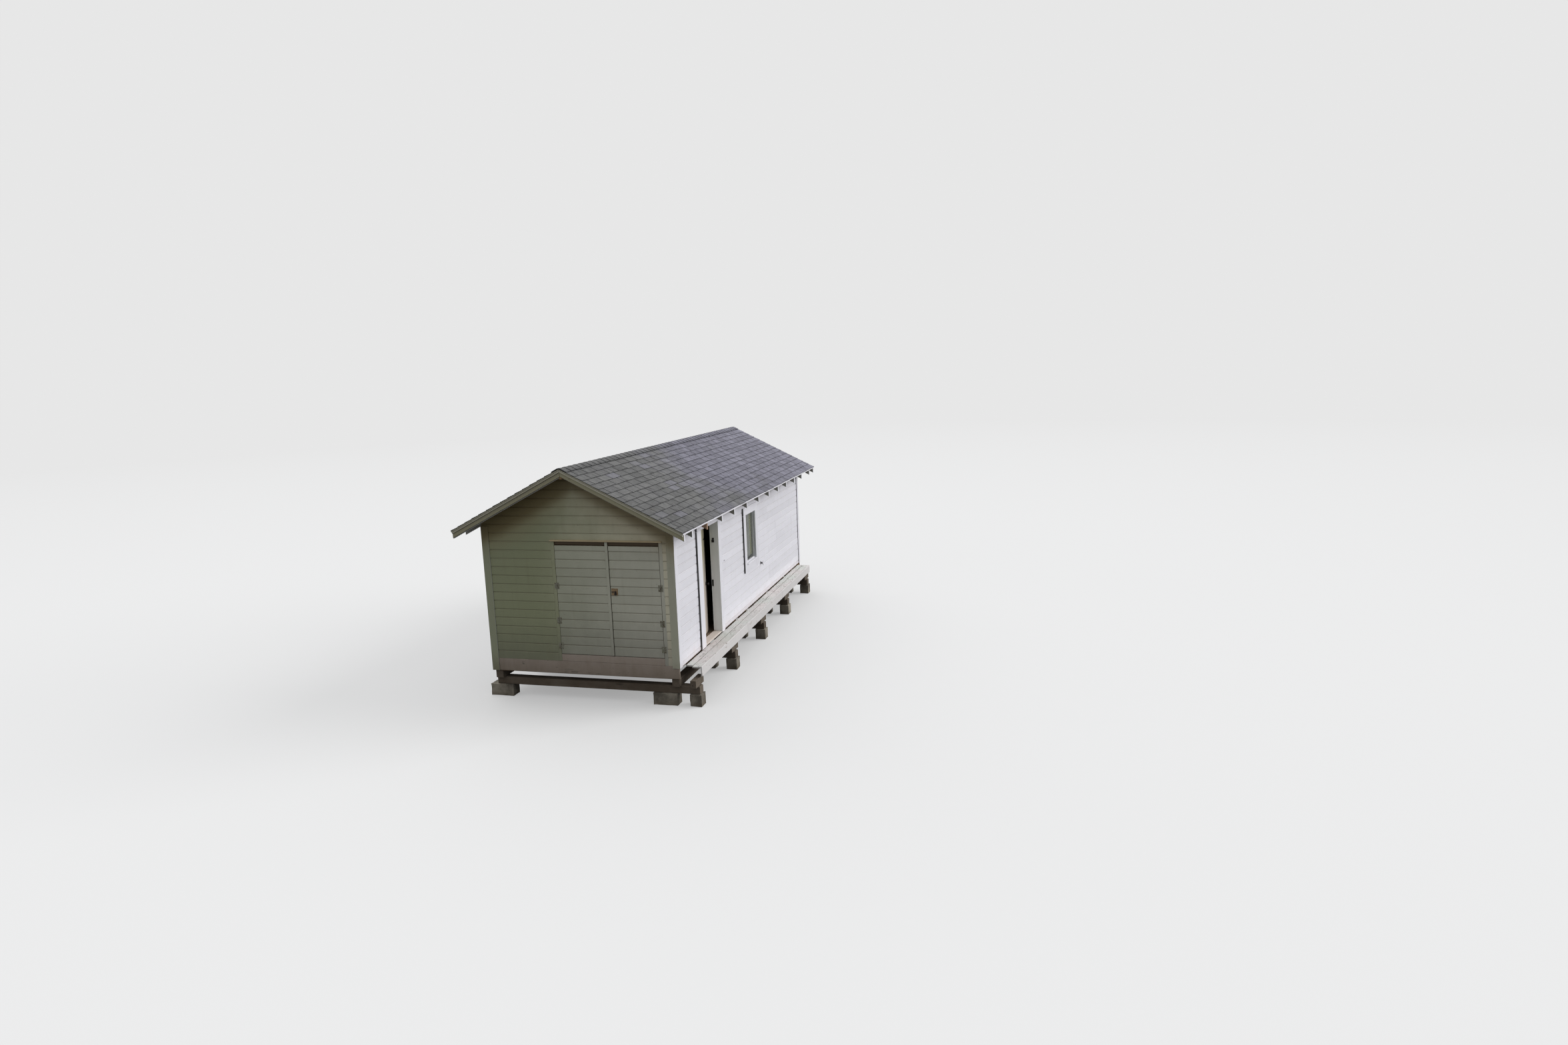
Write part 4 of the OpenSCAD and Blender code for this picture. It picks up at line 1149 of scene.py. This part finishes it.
def side_casings():
    """Flat boards round the side door and the window, and the window's sill."""
    piece = Piece("side_trim_boards")
    door, window = sorted(boxes("side_casings"), key=lambda box: box[0].y)
    face_x = door[1].x
    lap = 0.032
    y0 = DOORWAY_LOW.y + lap
    y1 = DOORWAY_HIGH.y - lap
    casing_boards(piece, *door, face_x, y0, y1, DOORWAY_HIGH.z - lap)
    lap = 0.029
    y0 = SASH_LOW.y + lap
    y1 = SASH_HIGH.y - lap
    casing_boards(piece, *window, face_x, y0, y1, SASH_HIGH.z - lap)
    low, high = window
    apron_low = (HALF_W, y0 + 0.0004, low.z)
    apron_high = (face_x, y1 - 0.0004, SASH_LOW.z - 0.031)
    piece.board(apron_low, apron_high, 1, 0.0025, 0.3, 0.0012, 1)
    window_sill(piece, low.x, high.x, y0 + 0.0005, y1 - 0.0005, SASH_LOW.z)
    piece.done("white_paint", [casing_paint, clean_unshaded_casing], "side_casings")


def side_leaf():
    """Upright beaded boards on ledges, built shut and turned to where the leaf stands at rest."""
    piece = Piece("side_door_boards")
    joint = joint_named("side_hinge")
    pivot = Vector((*joint["pos_m"][:2], 0))
    ajar = math.radians(-joint["range_deg"][0])
    piece.matrix = Matrix.Translation(pivot) @ Matrix.Rotation(ajar, 4, "Z")
    to_shut = piece.matrix.inverted()
    points = [to_shut @ v.co for v in frame["nodes"]["side_door"].data.vertices]
    low, high = corners(points)
    ledge_t = 0.016
    bead = 0.004
    count = 6
    width = (high.y - low.y) / count
    x0 = low.x + ledge_t
    x1 = high.x
    for i in range(count):
        y0 = low.y + i * width
        y1 = y0 + width - 0.0012
        outline = [(x0, y0), (x1 - bead, y0), (x1, y0 + bead), (x1, y1 - bead), (x1 - bead, y1), (x0, y1)]
        sections = [(z, outline) for z in stops(low.z, high.z, 0.4, 0.002)]
        piece.loft(sections, lambda a, b, t: (a, b, t), edges=[0.4, 0.9, 0.0, 0.0, 0.9, 0.4])
    levels = sorted({round(p.z, 3) for p in points if p.x < low.x + ledge_t / 2})
    for z0, z1 in zip(levels[::2], levels[1::2]):
        piece.board((low.x, low.y, z0), (x0, high.y, z1), 1, 0.003, 0.3, 0.0)
    piece.done("door_tan", [door_paint], "side_door", body="side_leaf")


def curtain_column(share, low, high, rod_z, top, rows):
    """One upright line of the curtain: its points, each with how near it is to a fold's crest."""
    folds = 9.5
    rod_bend = 0.0058
    mid_x = (low.x + high.x) / 2
    wander = 0.35 * noise.noise(Vector((share * 5, 3.1, 0)))
    fullness = 0.75 + 0.5 * noise.noise(Vector((share * 4, 9, 0)))
    column = []
    for r in range(rows + 1):
        down = r / rows
        z = top + (low.z - top) * down
        depth = 0.0045 + 0.0085 * min(1.0, down * 4)
        drift = 0.5 * noise.noise(Vector((share * 3, down * 1.5, 1)))
        phase = math.tau * folds * (share + 0.012 * wander) + drift
        wave = math.sin(phase)
        x = mid_x + depth * wave * fullness
        if abs(z - rod_z) < 0.012:
            x = mid_x + math.copysign(rod_bend, wave)
        y = low.y + share * (high.y - low.y) + 0.002 * math.sin(2 * phase)
        column.append((Vector((x, y, z)), 0.5 + 0.5 * wave))
    return column


def curtain():
    """A gathered curtain: soft upright folds that hang from the rod."""
    piece = Piece("gathered_curtain")
    low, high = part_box("window_curtain")
    rod_low, rod_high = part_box("curtain_rod")
    top = rod_high.z + 0.004
    columns = 150
    rows = 26
    lines = []
    feet = []
    for c in range(columns + 1):
        share = c / columns
        column = curtain_column(share, low, high, (rod_low.z + rod_high.z) / 2, top, rows)
        lines.append([piece.point(spot, (share, spot.z, 0.0), crest) for spot, crest in column])
        feet.append(column[-1][0])
    for one, two in zip(lines, lines[1:]):
        for r in range(rows):
            piece.bm.faces.new((one[r], one[r + 1], two[r + 1], two[r]))
    made = piece.done("curtain_cloth", [cloth], "window_curtain", smooth=180)
    thick = made.modifiers.new("cloth_thickness", "SOLIDIFY")
    thick.thickness = 0.0008
    width = sum((b - a).length for a, b in zip(feet, feet[1:]))


# Roof

def slope_point(side, s, h, y):
    """A point of a roof plane: s down the slope from the ridge, h out from the shingle faces."""
    x = (s + h * PITCH) / SLANT
    z = RIDGE_Z + (h - s * PITCH) / SLANT
    return (side * x, y, z)


def tab_edges(rng, start, end, offset):
    """Edges of a course's tabs, some of them narrow, from one rake to the other."""
    edges = [start]
    spot = start + offset * TAB_W + rng.uniform(-0.03, 0.03)
    while spot < end - 0.05:
        edges.append(spot)
        wide = TAB_W + rng.uniform(-0.008, 0.008)
        if rng.random() < 0.12:
            wide *= rng.choice((0.42, 0.5, 0.62))
        spot += wide
    return [*edges, end]


def shingle_tab(piece, side, s_butt, y0, y1, exposure):
    """One tab: its butt stands proud and the rest slips under the next course."""
    rng = piece.rng
    tone = rng.random()
    lift = [rng.uniform(0, 0.0024), rng.uniform(0, 0.0024)]
    slip = [rng.uniform(-0.008, 0.005), rng.uniform(-0.008, 0.005)]
    sag = rng.uniform(-0.003, 0.003)
    taper = 0.0055
    base = -0.0098
    rim = min(0.011, (y1 - y0) / 4) / (y1 - y0)
    # Places across the tab and up it, each with how dark its edge is there: the cut butt, weathered edges
    # and painted shade beside the slots, and dirt with painted shade just under the next course's butt
    columns = [(0.0, 0.8), (rim, 0.0), (0.5, 0.0), (1 - rim, 0.0), (1.0, 0.8)]
    rows = [
        (0.0, 0.75), (0.006, 0.0), (exposure * 0.5, 0.0), (exposure - 0.010, 0.0),
        (exposure - 0.001, 0.6), (exposure + 0.010, 1.0),
    ]
    rings = []
    for share, side_dark in columns:
        raised = lift[0] * (1 - share) + lift[1] * share
        moved = slip[0] * (1 - share) + slip[1] * share + sag * math.sin(math.pi * share)
        y = y0 + share * (y1 - y0)
        ring = []
        for up, dark in rows:
            fade = max(0.0, 1 - up / exposure)
            h = -0.0006 - taper * min(1.0, up / exposure) + raised * fade
            if up == 0.0:
                h -= 0.0008
            if up < exposure:
                dark = max(dark, side_dark)
            s = s_butt - up + moved * fade
            ring.append(piece.point(slope_point(side, s, h, y), (y, s, 0), tone, dark))
            if up == 0.0:
                ring.insert(0, piece.point(slope_point(side, s, base, y), (y, s, 0), tone, 1.0))
        ring.append(piece.point(slope_point(side, s, base, y), (y, s, 0), tone, 1.0))
        rings.append(ring)
    piece.skin(rings)


def shingle_slope(name, node, side):
    """Courses of tabs from the eave up to the ridge cap, on a dark base that shows in the slots as painted
    shade.
    """
    piece = Piece(name)
    rng = piece.rng
    eave_s = EAVE_X * SLANT
    base_low = -0.0099
    base_high = -0.0070
    for k in range(math.ceil((eave_s - 0.10) / EXPOSURE)):
        s_butt = eave_s - k * EXPOSURE - (0.0 if k else 0.001)
        s_top = max(0.004, s_butt - EXPOSURE)
        s_base = s_butt - 0.002
        outline = [(s_base, base_low), (s_base, base_high), (s_top, base_high), (s_top, base_low)]
        sections = [(y, outline) for y in stops(Y_RAKE0 + 0.001, Y_RAKE1 - 0.001, 1.2)]
        piece.loft(sections, lambda a, b, t: slope_point(side, a, b, t), 0.2, edges=[1.0] * 4)
        edges = tab_edges(rng, Y_RAKE0, Y_RAKE1, 0.45 if k % 2 else 0.95)
        for y0, y1 in zip(edges, edges[1:]):
            shift = SLOT_W * rng.uniform(0.36, 0.60)
            left = y0 + (shift if y0 > Y_RAKE0 else rng.uniform(0, 0.009))
            right = y1 - (shift if y1 < Y_RAKE1 else rng.uniform(0, 0.003))
            shingle_tab(piece, side, s_butt, left, right, s_butt - s_top)
    piece.done("shingle", [granules], node, smooth=25)


def cap_ring(piece, y, up, reach, twist, dark, tone):
    """A bent cap's section, from one eave side over the ridge to the other and back below."""
    ends = {1: reach + twist, -1: reach - twist}
    spots = [(1, s) for s in (ends[1], reach * 0.5, 0.030, 0.010)]
    spots += [(-1, s) for s in (0.010, 0.030, reach * 0.5, ends[-1])]
    ring = []
    for side, s in spots:
        h = up - (0.0028 if s < 0.02 else 0.0)
        edge = max(dark, 0.4 if s == ends[side] else 0.0)
        ring.append(piece.point(slope_point(side, s, h, y), (y, s, 0), tone, edge))
    for side, s in ((-1, ends[-1]), (-1, 0.010), (1, 0.010), (1, ends[1])):
        ring.append(piece.point(slope_point(side, s, -0.004, y), (y, s, 0), tone, 1.0))
    return ring


def ridge_caps():
    """Bent caps along the ridge, each lapping the next, wider at the exposed end."""
    piece = Piece("lapped_ridge_caps")
    length = Y_RAKE1 - Y_RAKE0
    count = math.floor(length / CAP_EXPOSURE)
    for i in range(count):
        y0 = Y_RAKE0 + i * length / count
        y1 = min(y0 + length / count + 0.012, Y_RAKE1)
        tone = piece.rng.random()
        twist = piece.rng.uniform(-0.003, 0.003)
        rings = []
        # dark: the cut edge at a cap's exposed end, and painted shade where it slips under the next cap.
        for y, up, narrower, dark in (
            (y0, 0.0080, 0.0, 0.9),
            (y0 + 0.006, 0.0086, 0.0, 0.0),
            ((y0 + y1) / 2, 0.0062, 0.004, 0.0),
            (y1 - 0.024, 0.0034, 0.009, 0.1),
            (y1, 0.0028, 0.010, 1.0),
        ):
            rings.append(cap_ring(piece, y, up, CAP_REACH - narrower, twist, dark, tone))
        piece.skin(rings)
    piece.done("shingle", [granules], "ridge_cap", smooth=28)


def roof_boards(name, node, side):
    """Boards laid along the roof on the rafters, seen from inside and under the eaves."""
    piece = Piece(name)
    low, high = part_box(node)
    count = 14
    width = (DECK_EDGE_X * SLANT - 0.011) / count
    for i in range(count):
        s0 = i * width + (0.0015 if i else 0.006)
        outline = rounded(s0, (i + 1) * width, -0.0289, -0.0101, 0.001)
        joint = low.y + (high.y - low.y) * piece.rng.uniform(0.3, 0.7)
        for y0, y1 in ((low.y, joint - 0.001), (joint + 0.001, high.y)):
            sections = [(y, outline) for y in stops(y0, y1, 1.0)]
            piece.loft(sections, lambda a, b, t: slope_point(side, a, b, t))
    piece.done("bare_lumber", [bare_lumber], node)


def sloped_board(piece, side, x0, x1, y0, y1, drop0, drop1, material):
    """A board that runs up the roof slope with plumb-cut ends, between two depths straight
    down from the shingle faces."""
    seed = piece.rng.uniform(0, 90)
    sections = []
    for x in stops(x0, x1, 0.4):
        dy = sway(x, seed, 0.0012)
        dz = sway(x, seed + 4, 0.0012)
        sections.append((x, rounded(y0 + dy, y1 + dy, drop0 + dz, drop1 + dz, 0.002)))
    piece.loft(sections, lambda a, b, t: (side * t, a, RIDGE_Z - PITCH * t - b), material=material)


def rake_boards():
    """At each gable: two narrow trims with dark strips in their open joints as painted shade, the barge
    board and the fly rafter.
    """
    piece = Piece("rake_trim")
    gap = 0.008
    board_t = 0.019
    fly_t = 0.038
    edge_x = DECK_EDGE_X
    # Finish, near and far face behind the rake's edge, near and far end, upper and lower edge
    layers = (
        (0, 0.0, board_t, 0.002, edge_x, 0.0, 0.020),
        (1, board_t, 2 * board_t, 0.002, edge_x, 0.0, 0.110),
        (2, 2 * board_t, 2 * board_t + fly_t, 0.019, RAFTER_TAIL_X, BOARD_V, BOARD_V + RAFTER_V),
        # The two layers of finish 3 are the dark joint strips: painted shade.
        (3, board_t - 0.003, board_t + 0.001, 0.004, edge_x - 0.002, 0.044, 0.054),
        (3, 0.004, board_t - 0.001, 0.003, edge_x - 0.001, 0.018, 0.028),
        (0, 0.001, board_t, 0.002, edge_x, 0.026, 0.047),
    )
    for end, edge_y in ((-1, Y_RAKE0 + gap), (1, Y_RAKE1 - gap)):
        for side in (-1, 1):
            for finish, near, far, x0, x1, upper, lower in layers:
                y0, y1 = sorted((edge_y - end * near, edge_y - end * far))
                drop0 = SHINGLE_V + upper + 0.0004
                sloped_board(piece, side, x0, x1, y0, y1, drop0, SHINGLE_V + lower, finish)
    piece.done("shade_paint", [trim_paint, rake_paint, tail_paint, shaded_recess_wood], "rake_boards")


def eave_strips():
    """A white strip along the edge of the roof boards, in two lengths on each side."""
    piece = Piece("eave_strips")
    low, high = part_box("eave_edges")
    x0 = DECK_EDGE_X
    x1 = x0 + 0.012
    for side in (-1, 1):
        y_mid = piece.rng.uniform(-1, 1)
        for y0, y1 in ((low.y, y_mid - 0.001), (y_mid + 0.001, high.y)):
            seed = piece.rng.uniform(0, 90)
            sections = []
            for y in stops(y0, y1, 0.5):
                inner = -PITCH * x0 - SHINGLE_V - 0.0004
                outer = -PITCH * x1 - SHINGLE_V - 0.0004
                deep = BOARD_V - sway(y, seed, 0.0015)
                sections.append((y, [(x0, inner), (x1, outer), (x1, outer - deep), (x0, inner - deep)]))
            piece.loft(sections, lambda a, b, t: (side * a, t, RIDGE_Z + b))
    piece.done("white_paint", [trim_paint], "eave_edges")


def rafter_set():
    """Rafters cut as in the frame. Their tails outside the walls are painted, but for a stained one."""
    piece = Piece("sawn_rafters")
    pairs = solids("rafters")
    for points, outlines in pairs:
        piece.eased(points, outlines, lambda p: (abs(p.x) * SLANT, p.y, p.z))
    for side in (-1, 1):
        geometry = piece.bm.verts[:] + piece.bm.edges[:] + piece.bm.faces[:]
        bmesh.ops.bisect_plane(piece.bm, geom=geometry, plane_co=(side * HALF_W, 0, 0), plane_no=(1, 0, 0))
    stained_y = sorted({round(corners(points)[0].y, 2) for points, _ in pairs})[1]
    for face in piece.bm.faces:
        middle = face.calc_center_median()
        if abs(middle.x) > HALF_W - 0.001:
            stained = middle.x > 0 and abs(middle.y - stained_y) < 0.15
            face.material_index = 2 if stained else 1
    piece.done("white_paint", [bare_lumber, tail_paint, stained_tail], "rafters")


# Hardware details

def screws(name, body, columns, levels):
    """Round screw heads on hinge plates: three to a plate, the middle one set to one side."""
    piece = Piece(name)
    third = 0.032
    for x, inward in columns:
        for z in levels:
            for n in (-1, 0, 1):
                spot = (x + inward * (-0.004 if n else 0.004), Y_FRONT - 0.003, z + n * third)
                piece.dome(spot, (0, -1, 0), 0.0042, 0.0012, tone=0.4)
    piece.done("rusty_steel", [hinge_paint], body=body)


def land_hinge_screws():
    """Screws in the plates on each leaf, and in those on the uprights beside them."""
    levels = [(low.z + high.z) / 2 for low, high in boxes("left_leaf_hinges")]
    off_pin = 0.022
    left_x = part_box("left_leaf_hinges")[1].x - 0.014
    right_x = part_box("right_leaf_hinges")[0].x + 0.014
    screws("left_leaf_screws", "land_leaf_left", [(left_x, 1)], levels)
    screws("right_leaf_screws", "land_leaf_right", [(right_x, 1)], levels)
    columns = []
    for name, side in (("land_left_hinge", -1), ("land_right_hinge", 1)):
        columns.append((joint_named(name)["pos_m"][0] + side * off_pin, side))
    screws("jamb_screws", "building", columns, levels)


# Light, floor and camera

BACKDROP = 0.80


def grey_level(value):
    return (value, value, value, 1)


def floor_finish():
    """Pale and shadowed where it is seen, even with the backdrop far off, and darker to the light
    that bounces off it."""
    material = bpy.data.materials.new("studio_floor")
    n = Nodes(material)
    n.tree.nodes.clear()
    bounced = n.add("BsdfDiffuse", {"Color": grey_level(0.16)})
    lit = n.add("BsdfDiffuse", {"Color": grey_level(0.40)})
    near = n.add("AddShader", {0: lit, 1: n.add("Emission", {"Strength": 0.34})})
    far = n.add("Emission", {"Strength": BACKDROP})
    place = n.add("TexCoord", None, "Object")
    distance = n.add("VectorMath", {0: place}, "Value", operation="LENGTH")
    seen = n.add("MixShader", {0: distance.span(14.0, 60.0, 0.0, 1.0), 1: near, 2: far})
    surface = n.add("MixShader", {0: n.rays("Camera", "Transmission"), 1: bounced, 2: seen})
    n.add("OutputMaterial", {"Surface": surface})
    return material


def floor():
    mesh = bpy.data.meshes.new("studio_floor")
    bm = bmesh.new()
    bmesh.ops.create_grid(bm, x_segments=8, y_segments=8, size=160)
    bm.to_mesh(mesh)
    bm.free()
    mesh.materials.append(floor_finish())
    placed("studio_floor", mesh)


def sky():
    """A soft sky that is weak near the horizon, behind an even pale backdrop."""
    world = bpy.data.worlds.new("studio")
    bpy.context.scene.world = world
    n = Nodes(world)
    n.tree.nodes.clear()
    strength = n.add("TexCoord", None, "Generated").axis("Z").span(0.0, 1.0, 0.24, 1.05)
    light = n.add("Background", {"Color": (0.98, 0.99, 1.0, 1), "Strength": strength})
    backdrop = n.add("Background", {"Color": grey_level(1), "Strength": BACKDROP})
    seen = n.rays("Camera", "Glossy", "Transmission")
    n.add("OutputWorld", {"Surface": n.add("MixShader", {0: seen, 1: light, 2: backdrop})})


def sun(name, heading, elevation, strength, spread):
    """A soft sun. Heading is where it stands: 0 over +X, 90 over +Y."""
    data = bpy.data.lights.new(name, "SUN")
    data.energy = strength
    data.angle = math.radians(spread)
    around = math.radians(heading)
    up = math.radians(elevation)
    towards = Vector((math.cos(around) * math.cos(up), math.sin(around) * math.cos(up), math.sin(up)))
    made = placed(name, data)
    made.rotation_mode = "QUATERNION"
    made.rotation_quaternion = towards.to_track_quat("Z", "Y")


def camera():
    """The photograph's viewpoint, in the frame of the building."""
    data = bpy.data.cameras.new("camera")
    data.sensor_width = 36.0
    data.lens = 21.68
    data.clip_start = 0.1
    data.clip_end = 400
    made = placed("camera", data)
    made.location = (6.431, -16.147, 4.915)
    made.rotation_euler = [math.radians(angle) for angle in (80.487, 1.994, 14.421)]
    bpy.context.scene.camera = made


camera()
floor()
sky()
sun("key", 22, 26, 2.35, 40)
sun("fill", 140, 38, 0.80, 60)

pier_blocks()
lumber("bearer_timbers", "pier_bearers", "crib_timber", dark_timber, 0.006, 0.004, 0.3)
lumber("crib_blocks", "walkway_cribs", "crib_timber", dark_timber, 0.006, 0.003, 0.1)
lumber("beam_timbers", "floor_beams", "crib_timber", dark_timber, 0.005, 0.002)
lumber("joist_lumber", "floor_joists")
floor_boards()
walkway_planks()
walkway_edge_board()

lumber("side_plates", "side_wall_plates")
lumber("side_studs", "side_wall_studs")
lumber("end_plates", "end_wall_plates")
lumber("end_studs", "end_wall_studs")

right_wall()
long_wall("left_wall_siding", "left_siding", along_left, (-1, 0, 0))
back_wall()
front_wall()
corner_boards()
doorway_trim()
sills()
land_leaf("left_land_leaf", "front_door_left", "land_leaf_left", True)
land_leaf("right_land_leaf", "front_door_right", "land_leaf_right", False)
side_casings()
side_leaf()
curtain()

roof_boards("roof_boards_of_left_slope", "roof_boards_left", -1)
roof_boards("roof_boards_of_right_slope", "roof_boards_right", 1)
shingle_slope("tabs_of_left_slope", "shingles_left", -1)
shingle_slope("tabs_of_right_slope", "shingles_right", 1)
ridge_caps()
rake_boards()
eave_strips()
rafter_set()
lumber("ridge_lumber", "ridge_board")
lumber("tie_lumber", "ceiling_ties")
lumber("blocking_boards", "eave_blocking", "white_paint", wall_paint, 0.001)

ease_edges(hinge_paint, 0.0006, "fixed_hinge_plates", "left_leaf_hinges", "right_leaf_hinges")
ease_edges(hasp_finish, 0.0004, "front_door_hasp")
ease_edges(iron, 0.0006, "side_door_hardware")
ease_edges(iron, 0.0015, "wall_ironwork")
ease_edges(iron, 0.0005, "curtain_rod")
ease_edges(reveal_paint, 0.0015, "window_sash", "side_door_frame")
ease_edges(pane_glass, 0.0003, "window_glass")
land_hinge_screws()

bpy.context.scene.view_settings.view_transform = "Standard"
bpy.context.view_layer.update()
